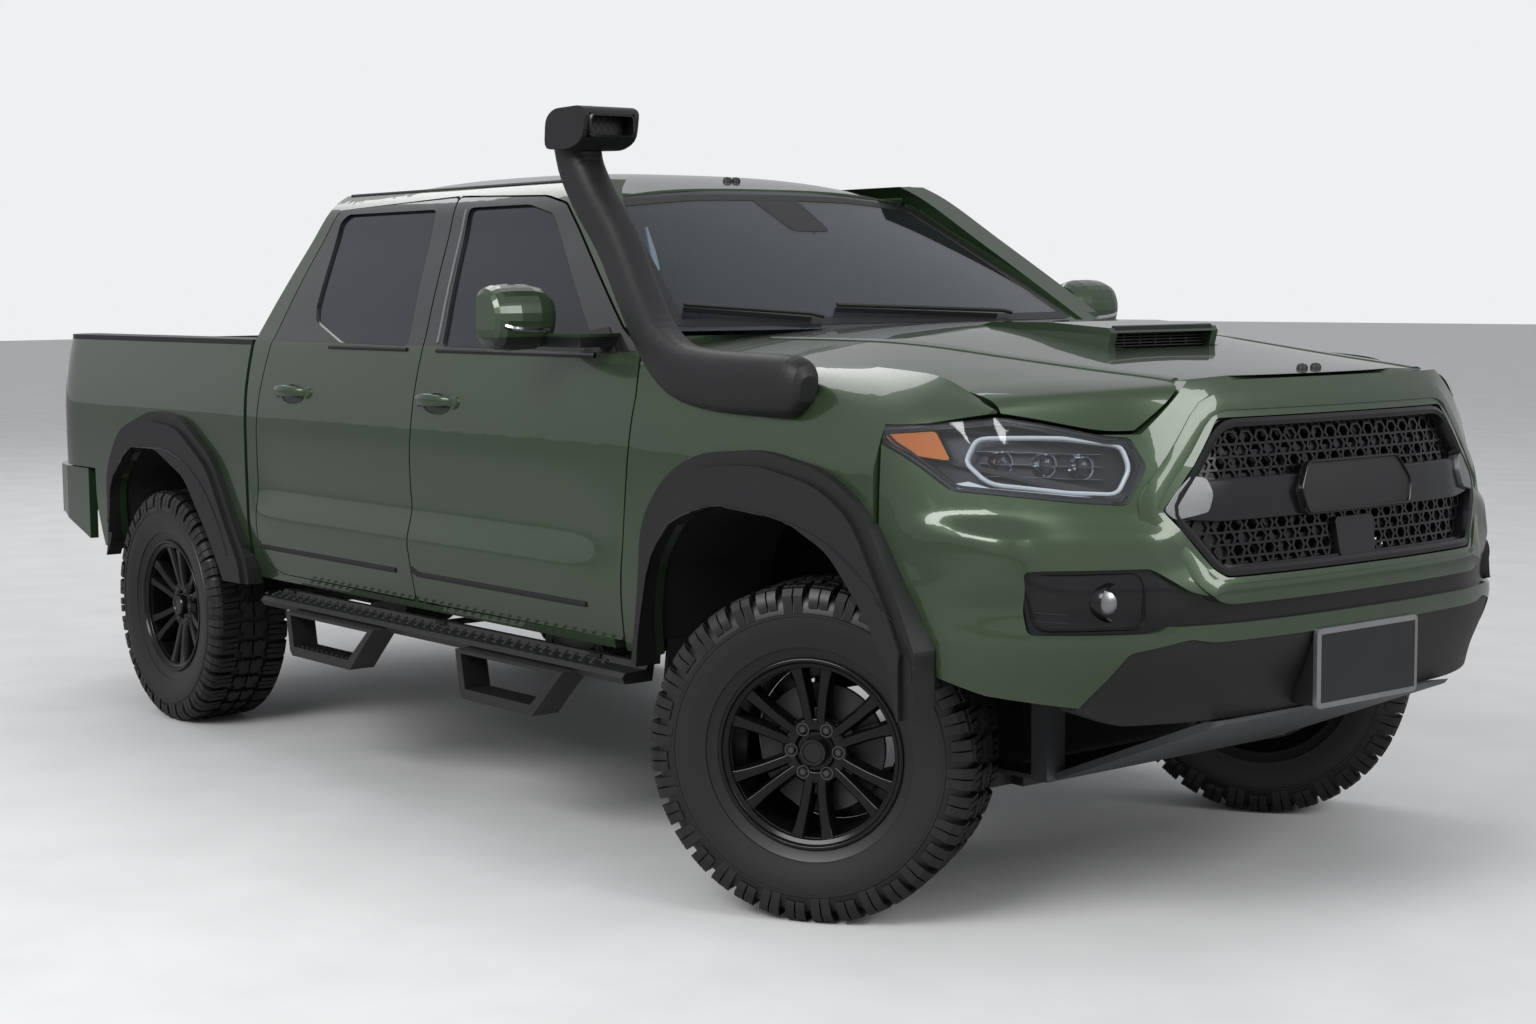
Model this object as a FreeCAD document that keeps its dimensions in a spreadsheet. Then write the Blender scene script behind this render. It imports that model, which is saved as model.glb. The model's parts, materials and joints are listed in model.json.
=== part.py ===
import FreeCAD, Part
import Sketcher
import math
import os

Vector = FreeCAD.Vector

# Driving sizes in millimetres and degrees: alias, value, what it sets
SIZES = (
    ("wheelbase", 3236, "front axle to rear axle"),
    ("front_overhang", 925, "front axle to the front bumper"),
    ("rear_overhang", 1231, "rear axle to the rear bumper"),
    ("body_half_width", 930, "middle plane to the door skin's crown"),
    ("sill_height", 540, "ground to the lower edge of the body side"),
    ("belt_height", 1280, "ground to the lower edge of the side glass"),
    ("roof_height", 1785, "ground to the roof's highest point"),
    ("half_track", 824, "middle plane to the middle of a tyre"),
    ("tyre_radius", 388, "wheel centre to the tread blocks' tips"),
    ("tyre_width", 270, "tyre over its shoulder blocks"),
    ("rim_radius", 222, "wheel centre to the rim's lip"),
    ("bead_radius", 205, "wheel centre to the tyre's bead"),
    ("steer_rest", 32, "steering angle at rest, to the left"),
    ("kingpin_inset", 40, "middle of a tyre to its kingpin"),
    ("door_setback", 594, "front axle to the front door's leading edge at mid height"),
    ("front_door_length", 1040, "front door at mid height"),
    ("cab_length", 2055, "front door's leading edge to the cab's rear wall"),
    ("cab_bed_gap", 20, "cab to load bed"),
    ("panel_gap", 6, "gap between two body panels"),
    ("skin", 26, "thickness of a body panel's flange"),
    ("door_depth", 104, "thickness of a whole door below the glass"),
    ("glass", 5, "thickness of the glass"),
    ("bonnet_half_width", 760, "middle plane to the bonnet's side gap"),
    ("rail_outer", 440, "middle plane to a frame rail's outer face"),
    ("rail_width", 75, "width of a frame rail"),
    ("rail_depth", 135, "height of a frame rail"),
    ("rail_bottom", 505, "ground to the frame rails between the axles"),
    ("bed_floor", 800, "ground to the load bed's floor"),
    ("bed_inner_half", 715, "middle plane to the load bed's inner wall"),
    ("tail_setback", 196, "rear bumper's face to the tailgate's face"),
    ("tailgate_half_width", 690, "middle plane to the tailgate's side gap"),
    ("receiver_size", 51, "inside width of the tow receiver"),
    ("plate_width", 335, "number plate's width"),
    ("plate_height", 150, "number plate's height"),
)


class Size:
    """A length with its value and the sheet formula it comes from."""

    def __init__(self, value, text):
        self.value = value
        self.text = text

    def __float__(self):
        return float(self.value)

    def __add__(self, other):
        other = size(other)
        return Size(self.value + other.value, f"({self.text} + {other.text})")

    def __sub__(self, other):
        other = size(other)
        return Size(self.value - other.value, f"({self.text} - {other.text})")

    def __mul__(self, other):
        other = size(other)
        return Size(self.value * other.value, f"({self.text} * {other.text})")

    def __truediv__(self, other):
        other = size(other)
        return Size(self.value / other.value, f"({self.text} / {other.text})")

    def __neg__(self):
        return Size(-self.value, f"(0 - {self.text})")

    def __radd__(self, other):
        return size(other) + self

    def __rsub__(self, other):
        return size(other) - self

    def __rmul__(self, other):
        return size(other) * self


def size(value):
    return value if isinstance(value, Size) else Size(float(value), f"({float(value):.6f})")


doc = FreeCAD.newDocument("pickup")
sheet = doc.addObject("Spreadsheet::Sheet", "sizes")
named = {}
for row, (alias, value, meaning) in enumerate(SIZES, start=1):
    sheet.set(f"A{row}", alias)
    sheet.set(f"B{row}", str(value))
    sheet.set(f"C{row}", meaning)
    sheet.setAlias(f"B{row}", alias)
    named[alias] = Size(float(value), f"sizes.{alias}")
doc.recompute()

# Places that follow from the driving sizes
half_length = (named["wheelbase"] + named["front_overhang"] + named["rear_overhang"]) / 2
front_axle = half_length - named["front_overhang"]
rear_axle = front_axle - named["wheelbase"]
door_front = front_axle - named["door_setback"]
door_split = door_front - named["front_door_length"]
cab_rear = door_front - named["cab_length"]
bed_front = cab_rear - named["cab_bed_gap"]
bed_rear = named["tail_setback"] - half_length
half_width = named["body_half_width"]
sill = named["sill_height"]
belt = named["belt_height"]
roof_top = named["roof_height"]
kingpin = named["half_track"] - named["kingpin_inset"]
axle_height = named["tyre_radius"]
ring_depth = named["skin"] + 10
WIDE = 3000.0
NUDGE = 0.3

nodes = {}


def keep(name, shape_or_object):
    """Register a sub-part: a document object, or a shape made by code."""
    if isinstance(shape_or_object, Part.Shape):
        item = doc.addObject("Part::Feature", name)
        item.Shape = shape_or_object
        item.Placement = FreeCAD.Placement()
    else:
        item = shape_or_object
    item.Label = name
    nodes[name] = item
    return item


# Curves and sheets

def smooth_value(keys, at):
    """Value at a place on the smooth curve through (place, value) pairs, with no overshoot."""
    if at <= keys[0][0]:
        return keys[0][1]
    if at >= keys[-1][0]:
        return keys[-1][1]
    slopes = [(b[1] - a[1]) / (b[0] - a[0]) for a, b in zip(keys, keys[1:])]
    tangents = [slopes[0]]
    for before, after in zip(slopes, slopes[1:]):
        same = before * after > 0
        tangents.append(2 * before * after / (before + after) if same else 0.0)
    tangents.append(slopes[-1])
    k = max(i for i in range(len(slopes)) if keys[i][0] <= at)
    span = keys[k + 1][0] - keys[k][0]
    part = (at - keys[k][0]) / span
    rise = part * part * (3 - 2 * part)
    lead = part * (1 - part) * (1 - part) * span * tangents[k]
    trail = part * part * (part - 1) * span * tangents[k + 1]
    return keys[k][1] + (keys[k + 1][1] - keys[k][1]) * rise + lead + trail


def blend(a, b, share):
    return a + (b - a) * min(1.0, max(0.0, share))


def steps(low, high, count):
    return [low + (high - low) * i / (count - 1) for i in range(count)]


def sheet_surface(point, us, vs):
    """Smooth sheet that follows a net of points without overshooting them."""
    net = [[point(u, v) for v in vs] for u in us]
    u_spans = len(us) - 3
    v_spans = len(vs) - 3
    surface = Part.BSplineSurface()
    surface.buildFromPolesMultsKnots(
        net, [4] + [1] * (u_spans - 1) + [4], [4] + [1] * (v_spans - 1) + [4],
        list(range(u_spans + 1)), list(range(v_spans + 1)), False, False, 3, 3)
    return surface


def lattice(low, high, pitch):
    """Multiples of a pitch that reach from low to high, so that neighbours share their lines."""
    first = math.floor(float(low) / pitch)
    last = math.ceil(float(high) / pitch)
    last = max(last, first + 3)
    return [pitch * k for k in range(first, last + 1)]


def slab(outer, inner, us, vs):
    """Closed solid between two sheets that are given as functions of the same two numbers."""
    sheets = [sheet_surface(f, us, vs) for f in (outer, inner)]
    faces = [s.toShape() for s in sheets]
    first, second = sheets
    u0, u1, v0, v1 = first.bounds()
    a0, a1, b0, b1 = second.bounds()
    rims = [(first.uIso(u0), second.uIso(a0)), (first.uIso(u1), second.uIso(a1)),
            (first.vIso(v0), second.vIso(b0)), (first.vIso(v1), second.vIso(b1))]
    faces += [Part.makeRuledSurface(a.toShape(), b.toShape()) for a, b in rims]
    shell = Part.makeShell(faces)
    shell.sewShape()
    solid = Part.makeSolid(Part.Shell(shell.Faces))
    if solid.Volume < 0:
        solid.reverse()
    return solid


def set_in(point, depth, du=1.0, dv=1.0):
    """The same sheet moved by a depth along its own normal, towards the inside."""
    def moved(u, v):
        here = point(u, v)
        along = point(u + du, v) - point(u - du, v)
        across = point(u, v + dv) - point(u, v - dv)
        normal = along.cross(across)
        normal.normalize()
        heart = Vector(here.x * 0.8, 0, float(named["bed_floor"]))
        inwards = 1 if normal.dot(heart - here) > 0 else -1
        return here + normal * depth * inwards
    return moved


def polygon(points, axis):
    """Flat face through points given as pairs: (x, z) along y, (y, z) along x, (x, y) along z."""
    made = {"y": lambda a, b: Vector(a, 0, b), "x": lambda a, b: Vector(0, a, b),
            "z": lambda a, b: Vector(a, b, 0)}[axis]
    corners = [made(float(a), float(b)) for a, b in points]
    return Part.Face(Part.makePolygon(corners + corners[:1]))


def prism(points, axis, low, high):
    """Solid of an outline, from low to high along its axis."""
    way = {"x": Vector(1, 0, 0), "y": Vector(0, 1, 0), "z": Vector(0, 0, 1)}[axis]
    low = float(low)
    high = float(high)
    face = polygon(points, axis)
    face.translate(way * low)
    return face.extrude(way * (high - low))


def rounded(points, radius):
    """Outline with each corner cut to an arc, as a list of edges' points for a smooth outline."""
    out = []
    count = len(points)
    for i, corner in enumerate(points):
        before = Vector(*[float(c) for c in points[i - 1]], 0)
        here = Vector(*[float(c) for c in corner], 0)
        after = Vector(*[float(c) for c in points[(i + 1) % count]], 0)
        back = before - here
        ahead = after - here
        reach = min(radius, back.Length * 0.45, ahead.Length * 0.45)
        back.normalize()
        ahead.normalize()
        start = here + back * reach
        end = here + ahead * reach
        for share in (0.0, 0.33, 0.67, 1.0):
            bend = start * (1 - share) ** 2 + here * 2 * share * (1 - share) + end * share ** 2
            out.append((bend.x, bend.y))
    return out


def grown(points, by):
    """Outline moved outwards by a distance, for a clearance or a rim."""
    flat = [Vector(float(a), float(b), 0) for a, b in points]
    count = len(flat)
    area = sum(flat[i].x * flat[(i + 1) % count].y - flat[(i + 1) % count].x * flat[i].y for i in range(count))
    turn = 1 if area > 0 else -1
    out = []
    for i, here in enumerate(flat):
        back = (here - flat[i - 1]).normalize()
        ahead = (flat[(i + 1) % count] - here).normalize()
        first = Vector(back.y, -back.x, 0) * turn
        second = Vector(ahead.y, -ahead.x, 0) * turn
        middle = (first + second).normalize()
        out.append((here.x + middle.x * by / max(0.35, middle.dot(first)),
                    here.y + middle.y * by / max(0.35, middle.dot(first))))
    return out


def half_outline(points):
    """Whole outline from its left half, mirrored about the middle plane."""
    left = [(y, z) for y, z in points if y > 0]
    centre = [(y, z) for y, z in points if y == 0]
    right = [(-y, z) for y, z in left[::-1]]
    return left + right if not centre else left + centre[-1:] + right + centre[:1]


def mirror_points(points):
    return [(-y, z) for y, z in points]


def nose_cut(points, radius=10, low=1700.0, high=WIDE):
    return prism(rounded(points, radius), "x", low, high)


def block(x, y, z):
    """Plain box shape between pairs of places."""
    low = Vector(float(x[0]), float(y[0]), float(z[0]))
    made = Part.makeBox(float(x[1]) - low.x, float(y[1]) - low.y, float(z[1]) - low.z)
    made.translate(low)
    return made


def tube(start, end, radius, bore=0.0):
    way = Vector(*end) - Vector(*start)
    made = Part.makeCylinder(radius, way.Length, Vector(*start), way)
    if bore:
        made = made.cut(Part.makeCylinder(bore, way.Length, Vector(*start), way))
    return made


def joined(shapes):
    made = shapes[0].fuse(shapes[1:]) if len(shapes) > 1 else shapes[0]
    return made.removeSplitter()


def largest(shape):
    """The biggest solid of a cut shape, without the slivers beside it."""
    return max(shape.Solids, key=lambda solid: solid.Volume)


def mirrored(shape):
    return shape.mirror(Vector(0, 0, 0), Vector(0, 1, 0))


def both(shape):
    return Part.makeCompound([shape, mirrored(shape)])


# Features bound to the sheet

def bind(item, **formulas):
    for prop, formula in formulas.items():
        formula = size(formula)
        item.setExpression(prop.replace("__", "."), formula.text)


def box(name, x, y, z):
    """Box feature between pairs of places, each bound to the sheet."""
    item = doc.addObject("Part::Box", name)
    low = [size(pair[0]) for pair in (x, y, z)]
    high = [size(pair[1]) for pair in (x, y, z)]
    bind(item, Length=high[0] - low[0], Width=high[1] - low[1], Height=high[2] - low[2],
         Placement__Base__x=low[0], Placement__Base__y=low[1], Placement__Base__z=low[2])
    return item


TURNS = {"x": FreeCAD.Rotation(Vector(0, 1, 0), 90), "y": FreeCAD.Rotation(Vector(1, 0, 0), -90),
         "z": FreeCAD.Rotation()}


def rod(name, axis, start, length, radius):
    """Cylinder feature along an axis from a start point, bound to the sheet."""
    item = doc.addObject("Part::Cylinder", name)
    item.Placement = FreeCAD.Placement(Vector(), TURNS[axis])
    start = [size(place) for place in start]
    bind(item, Radius=radius, Height=length, Placement__Base__x=start[0],
         Placement__Base__y=start[1], Placement__Base__z=start[2])
    return item


def fuse(name, items):
    item = doc.addObject("Part::MultiFuse", name)
    item.Shapes = items
    return item


def cut(name, base, tool):
    item = doc.addObject("Part::Cut", name)
    item.Base = base
    item.Tool = tool
    return item


def mirror_feature(name, source):
    item = doc.addObject("Part::Mirroring", name)
    item.Source = source
    item.Normal = Vector(0, 1, 0)
    return item


def outline_sketch(body, plane, points):
    """Closed sketch through corners whose two distances are bound to the sheet."""
    sketch = body.newObject("Sketcher::SketchObject", body.Name + "_outline")
    origin = [f for f in body.Origin.OriginFeatures if f.Role == plane][0]
    sketch.AttachmentSupport = [(origin, "")]
    sketch.MapMode = "FlatFace"
    corners = [(size(a), size(b)) for a, b in points]
    flat = [Vector(float(a), float(b), 0) for a, b in corners]
    count = len(flat)
    for i in range(count):
        sketch.addGeometry(Part.LineSegment(flat[i], flat[(i + 1) % count]), False)
    for i in range(count):
        sketch.addConstraint(Sketcher.Constraint("Coincident", i, 2, (i + 1) % count, 1))
    for i, (a, b) in enumerate(corners):
        for kind, place in (("DistanceX", a), ("DistanceY", b)):
            at = sketch.addConstraint(Sketcher.Constraint(kind, -1, 1, i, 1, float(place)))
            sketch.setExpression(f"Constraints[{at}]", place.text)
    return sketch


def revolved(name, points):
    """Body turned about its own x axis from an outline of (along, radius) corners."""
    body = doc.addObject("PartDesign::Body", name)
    sketch = outline_sketch(body, "XY_Plane", points)
    turn = body.newObject("PartDesign::Revolution", name + "_turn")
    turn.Profile = sketch
    turn.ReferenceAxis = (sketch, ["H_Axis"])
    turn.Angle = 360
    return body


# Body side: how far the skin lies inside the crown, by height above the sill
LOWER_SIDE = ((0, 30), (60, 18), (140, 4), (188, -3), (204, -3), (225, 2), (290, 16), (360, 8),
              (470, 0), (560, 4), (660, 19), (740, 37))
PLAIN_SIDE = ((0, 30), (60, 18), (140, 6), (204, 2), (290, 1), (360, 0), (470, 0), (560, 4),
              (660, 19), (740, 37))
# The same above the belt, by share of the way from the belt to the roof's top
UPPER_SIDE = ((0, 37), (0.04, 50), (0.24, 105), (0.44, 163), (0.63, 220), (0.78, 262), (0.85, 290),
              (0.90, 325), (0.93, 360))
VALLEY_FADES = (-880, -840, 900, 1130)


def valley_share(x):
    start, full, fade, gone = VALLEY_FADES
    if x < full:
        return blend(0.0, 1.0, (x - start) / (full - start))
    return blend(1.0, 0.0, (x - fade) / (gone - fade))


def side_inset(x, z):
    if z > float(belt):
        return smooth_value(UPPER_SIDE, (z - float(belt)) / float(roof_top - belt))
    scale = 740 / float(belt - sill)
    height = (z - float(sill)) * scale
    plain = smooth_value(PLAIN_SIDE, height)
    return blend(plain, smooth_value(LOWER_SIDE, height), valley_share(x))


def side_sheet(depth):
    def point(x, z):
        return Vector(x, float(half_width) - side_inset(x, z) - depth, z)
    return point


SIDE_COLUMN = 110.0
SIDE_ROW = 20.0


def side_slab(x0, x1, z0, z1, outer, inner):
    """Left-hand slab of the body side between two depths behind the skin."""
    return slab(side_sheet(outer), side_sheet(inner), lattice(x0, x1, SIDE_COLUMN),
                lattice(z0, z1, SIDE_ROW))


# Doors
gap = float(named["panel_gap"])
skin = float(named["skin"])
split_x = float(door_split)
front_x = float(door_front)
rear_x = float(cab_rear)
belt_z = float(belt)
sill_z = float(sill)
door_low = sill_z + 24
frame_top = belt_z + 0.845 * float(roof_top - belt)


def split_at(z):
    """The gap between the two doors leans back above the belt."""
    lower = ((door_low, -32), (sill_z + 310, -28), (sill_z + 560, 3), (belt_z, 14),
             (frame_top, -183))
    return split_x + smooth_value(lower, z)


FRONT_EDGE = ((24, -55), (230, -31), (470, 0), (640, 21), (745, 12))
PILLAR_EDGE = ((60, -108), (390, -628), (414, -752))


def front_door_outline(inset=0.0):
    half = gap / 2 + inset
    points = [(split_at(z) + half, z) for z in (door_low + inset, sill_z + 310, sill_z + 560, belt_z)]
    points[0] = (points[0][0], door_low + inset)
    front = [(front_x + dx - inset, max(sill_z + dz, door_low + inset)) for dx, dz in
             ((b, a) for a, b in FRONT_EDGE)]
    pillar = [(front_x + dx - inset * 0.8, belt_z + dz - inset * 0.8) for dz, dx in PILLAR_EDGE]
    top = [(split_at(frame_top) + half, frame_top - inset)]
    return points[:1] + front + pillar + top + points[:0:-1]


REAR_EDGE = ((22, 178), (50, 78), (110, 43), (250, 55), (500, 71), (749, 117), (960, 125),
             (1150, 145))


def rear_door_outline(inset=0.0):
    half = gap / 2 + inset
    front = [(split_at(z) - half, z) for z in (door_low + inset, sill_z + 310, sill_z + 560, belt_z)]
    front.append((split_at(frame_top) - half, frame_top - inset))
    rear = [(rear_x + dx + inset, min(max(sill_z + dz, door_low + inset), frame_top - inset))
            for dz, dx in REAR_EDGE]
    return front + rear[::-1]


GLASS_TOP = frame_top - 32
GLASS_LOW = belt_z + 2
FRONT_GLASS = ((split_x + 112, GLASS_LOW), (front_x - 178, GLASS_LOW), (front_x - 246, GLASS_LOW + 50),
               (front_x - 668, GLASS_TOP - 30), (front_x - 812, GLASS_TOP), (split_x - 88, GLASS_TOP))
REAR_GLASS = ((split_x - 72, GLASS_LOW), (split_x - 469, GLASS_LOW + 4), (split_x - 680, GLASS_LOW + 64),
              (split_x - 720, GLASS_LOW + 110), (split_x - 828, GLASS_TOP - 24),
              (split_x - 802, GLASS_TOP), (split_x - 270, GLASS_TOP))
FRAME_DEPTH = 32.0


def door_shape(outline, glass_points, x0, x1):
    """Whole door: a flange over the outline, a deeper core inside it, and the window cut."""
    whole = side_slab(x0, x1, door_low - 10, frame_top + 60, 0, float(named["door_depth"]))
    solid = whole.common(prism(rounded(outline(), 18), "y", 500, 1100))
    behind = side_slab(x0, x1, door_low - 30, frame_top + 60, skin, 320)
    core = prism(rounded(outline(46.0), 18), "y", 300, 1100)
    frame = prism(rounded(outline(14.0), 12), "y", 300, 1100)
    upper = block((-WIDE, WIDE), (300, 1100), (belt_z - 4, WIDE))
    solid = solid.cut(behind.cut(core.cut(upper)).cut(frame.common(upper)))
    deep = side_slab(x0, x1, belt_z - 40, frame_top + 60, FRAME_DEPTH, 320)
    solid = solid.cut(deep.common(upper))
    return solid.cut(prism(rounded(glass_points, 22), "y", 500, 1100))


def door_glass(glass_points, x0, x1):
    pane = side_slab(x0, x1, GLASS_LOW - 20, GLASS_TOP + 20, 10, 10 + float(named["glass"]))
    return pane.common(prism(rounded(grown(glass_points, -NUDGE), 22), "y", 500, 1100))


front_span = (split_x - 240, front_x + 60)
rear_span = (rear_x + 20, split_x + 60)
front_door = door_shape(front_door_outline, FRONT_GLASS, *front_span)
rear_door = door_shape(rear_door_outline, REAR_GLASS, *rear_span)
front_pane = door_glass(FRONT_GLASS, *front_span)
rear_pane = door_glass(REAR_GLASS, *rear_span)
for side, turn in (("left", lambda shape: shape), ("right", mirrored)):
    keep(f"front_door_{side}", turn(front_door))
    keep(f"rear_door_{side}", turn(rear_door))
    keep(f"front_door_glass_{side}", turn(front_pane))
    keep(f"rear_door_glass_{side}", turn(rear_pane))

# Roof and cab
ROOF_CREST = ((-760, -56), (-600, -17), (-300, 0), (100, -2), (350, -23), (560, -64))
ROOF_HALF = 608.0
wind_top = front_x - 617
roof_tail = rear_x + 118


def roof_crest(x):
    shifted = (x - wind_top) + 560
    return float(roof_top) + smooth_value(ROOF_CREST, shifted)


def roof_sheet(depth):
    def point(x, y):
        drop = 50 * abs(y / ROOF_HALF) ** 3.2
        return Vector(x, y, roof_crest(x) - drop - depth)
    return point


def cab_side():
    """Side of the cab: visible strips round the doors, and the pillars and sill behind them."""
    side = side_slab(rear_x, front_x + 30, sill_z, frame_top + 24, 0, 96)
    side = side.common(block((rear_x, front_x + 30), (0, 1100), (sill_z, frame_top + 30)))
    recess = side_slab(rear_x - 60, front_x + 120, sill_z - 30, frame_top + 60, -40, ring_depth.value)
    flanges = [prism(rounded(outline(-gap), 20), "y", 400, 1100)
               for outline in (front_door_outline, rear_door_outline)]
    ahead = block((front_x - 98, WIDE), (400, 1100), (0, WIDE))
    side = side.cut(recess.common(flanges[0].fuse([flanges[1], ahead])))
    for outline in (front_door_outline(38.0), rear_door_outline(38.0)):
        side = side.cut(prism(rounded(outline, 20), "y", 400, 1100))
    strikers = [striker(split_at(sill_z + 480) + 22), striker(rear_x + 78)]
    return side.fuse(strikers).cut(above_glass())


def striker(x):
    """Latch striker that the closed door's flange rests on."""
    plate = side_slab(x - 130, x + 130, sill_z + 420, sill_z + 540, skin + NUDGE, ring_depth.value + 12)
    return plate.common(block((x - 13, x + 13), (400, 1100), (sill_z + 455, sill_z + 505)))


def ahead_of_screen(shift=0.0):
    """Space ahead of the windscreen's line, moved forward by a clearance."""
    line = [(front_x + 100, sill_z + 520), (front_x - 6, sill_z + 640), (front_x - 22, belt_z + 20),
            (wind_top + 36, frame_top + 30), (wind_top + 36, 2600), (WIDE, 2600), (WIDE, sill_z + 520)]
    return prism([(x + shift, z) for x, z in line], "y", 0, 1200)


def above_glass():
    """Space ahead of the windscreen's line and behind the rear window's line."""
    behind = prism([(rear_x - 2, belt_z + 20), (roof_tail - 30, frame_top + 30), (roof_tail - 30, 2600),
                    (-WIDE, 2600), (-WIDE, belt_z + 20)], "y", 0, 1200)
    return ahead_of_screen().fuse(behind)


FLOOR_RISE = 110.0
FLOOR_THICK = 30.0


def cab_body():
    roof = slab(roof_sheet(0), roof_sheet(34), steps(roof_tail, wind_top, 9),
                steps(-ROOF_HALF, ROOF_HALF, 17))
    side = cab_side()
    floor = block((rear_x + 30, front_x - 90), (-780, 780), (sill_z + FLOOR_RISE, sill_z + FLOOR_RISE + FLOOR_THICK))
    tunnels = []
    for sign in (1, -1):
        for y0, y1, low, high in ((742, 782, 20, FLOOR_RISE + 12), (742, 850, 20, 52)):
            across = (y0, y1) if sign > 0 else (-y1, -y0)
            tunnels.append(block((rear_x + 30, front_x - 90), across, (sill_z + low, sill_z + high)))
    rear_wall = block((rear_x, rear_x + 34), (-800, 800), (sill_z + FLOOR_RISE, belt_z + 50))
    firewall = block((front_x - 96, front_x - 66), (-760, 760), (sill_z + FLOOR_RISE, belt_z + 40))
    header_z = roof_crest(wind_top)
    header = block((wind_top - 60, wind_top - 4), (-565, 565), (header_z - 62, header_z - 20))
    tail_z = roof_crest(roof_tail)
    rear_header = block((roof_tail + 4, roof_tail + 50), (-565, 565), (tail_z - 80, tail_z - 20))
    posts = []
    for sign in (1, -1):
        foot = Vector(front_x - 90, sign * 770, belt_z + 30)
        head = Vector(wind_top - 20, sign * 584, header_z - 42)
        posts.append(pillar(foot, head, 58, 44))
        rear_foot = Vector(rear_x + 22, sign * 770, belt_z + 20)
        rear_head = Vector(roof_tail + 20, sign * 584, tail_z - 46)
        posts.append(pillar(rear_foot, rear_head, 60, 44))
    rails = [block((roof_tail, wind_top), (sign * 568 - 22, sign * 568 + 22),
                   (frame_top - 14, frame_top + 18)) for sign in (1, -1)]
    return joined([roof, side, mirrored(side), floor, rear_wall, firewall, header, rear_header]
                  + posts + rails + tunnels)


def pillar(foot, head, width, depth):
    """Straight post of a flat section between two points."""
    way = head - foot
    made = Part.makeBox(width, depth, way.Length, Vector(-width / 2, -depth / 2, 0))
    made.Placement = FreeCAD.Placement(foot, FreeCAD.Rotation(Vector(0, 0, 1), way))
    return made


cab = cab_body()
keep("cab_body", cab)


# Windscreen and rear window
def screen_sheet(base, top, base_half, top_half, bow, depth):
    """Bowed pane: base and top are (x, z) at the middle, bow is how far its sides fall back."""
    def point(u, v):
        half = base_half + (top_half - base_half) * v
        back = blend(bow[0], bow[1], v) * abs(u) ** 2.2
        x = base[0] + (top[0] - base[0]) * v - back
        z = base[1] + (top[1] - base[1]) * v - 14 * abs(u) ** 2 * v
        return Vector(x + 14 * math.sin(math.pi * v) * bow[2] - depth * bow[2], u * half, z)
    return point


def pane(base, top, base_half, top_half, bow):
    return slab(screen_sheet(base, top, base_half, top_half, bow, 0),
                screen_sheet(base, top, base_half, top_half, bow, 7),
                steps(-1, 1, 11), steps(0.0, 1.0, 6))


header_z = roof_crest(wind_top)
windscreen = pane((front_x + 56, belt_z + 52), (wind_top + 8, header_z - 6), 735, 548, (120, 34, 1))
tail_z = roof_crest(roof_tail)
rear_window = pane((rear_x - 2, belt_z + 52), (roof_tail - 6, tail_z - 30), 700, 525, (-26, -14, -1))
keep("cab_glass", Part.makeCompound([largest(windscreen.cut(cab)), largest(rear_window.cut(cab))]))

# Bonnet and front wings
SHUT_LINE = ((1130, 1296), (1283, 1283), (1714, 1272), (1918, 1262), (2027, 1256), (2126, 1248),
             (2226, 1212), (2306, 1173))
BONNET_LINE = ((0, 1235, 1338, 45, 0), (0.15, 1450, 1350, 72, 0.05), (0.3, 1650, 1348, 76, 0.1),
               (0.45, 1850, 1331, 66, 0.2), (0.6, 2050, 1303, 50, 0.4), (0.7, 2200, 1284, 42, 0.6),
               (0.8, 2350, 1267, 38, 0.8), (0.88, 2480, 1254, 36, 0.92), (0.94, 2560, 1245, 40, 1.0),
               (0.97, 2594, 1232, 40, 1.0), (0.985, 2606, 1205, 22, 1.0), (1, 2612, 1172, 0, 1.0))
BONNET_LIP = ((0, 0), (380, 0), (560, 36), (620, 38), (700, 14), (760, 0))
UPPER_PLAN = ((0, 0), (200, 5), (400, 24), (560, 92), (660, 182), (760, 304), (860, 440),
              (900, 503), (925, 560))
LOWER_PLAN = ((0, 0), (200, 4), (400, 22), (500, 47), (600, 92), (700, 165), (780, 247),
              (850, 355), (900, 480), (925, 570))
bonnet_half = float(named["bonnet_half_width"])
nose_shift = float(front_axle) - 1771
lift = belt_z - 1280


def column(rows, index):
    return [(row[0], row[index]) for row in rows]


def bonnet_point(t, y):
    middle_x = smooth_value(column(BONNET_LINE, 1), t) + nose_shift
    middle_z = smooth_value(column(BONNET_LINE, 2), t) + lift
    drop = smooth_value(column(BONNET_LINE, 3), t) * abs(y / 760) ** 2.2
    nose = smooth_value(UPPER_PLAN, abs(y)) * smooth_value(column(BONNET_LINE, 4), t)
    rear = 105 * abs(y / 760) ** 2 * max(0.0, 1 - t / 0.3)
    lip = smooth_value(BONNET_LIP, abs(y)) * max(0.0, (t - 0.96) / 0.04)
    return Vector(middle_x - nose - rear, y, middle_z - drop - lip)


BONNET_ROWS = steps(0.012, 0.94, 20) + [0.952, 0.964, 0.974, 0.982, 0.99, 1.0]
BONNET_COLUMNS = steps(-bonnet_half, bonnet_half, 33)


def bonnet():
    return slab(bonnet_point, set_in(bonnet_point, 20, 0.002, 2.0), BONNET_ROWS, BONNET_COLUMNS)


def scoop():
    """Raised intake on the bonnet with an open mouth that faces forward."""
    top = prism([(1640, 1338), (1700, 1352), (1900, 1352), (2088, 1340), (2096, 1328), (2080, 1270),
                 (1640, 1300)], "y", -190, 190)
    top.translate(Vector(nose_shift, 0, lift))
    mouth = block((1950 + nose_shift, 2200 + nose_shift), (-168, 168), (1292 + lift, 1328 + lift))
    return top, mouth


raised, mouth = scoop()
whole_bonnet = joined([bonnet(), raised]).cut(mouth)


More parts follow.
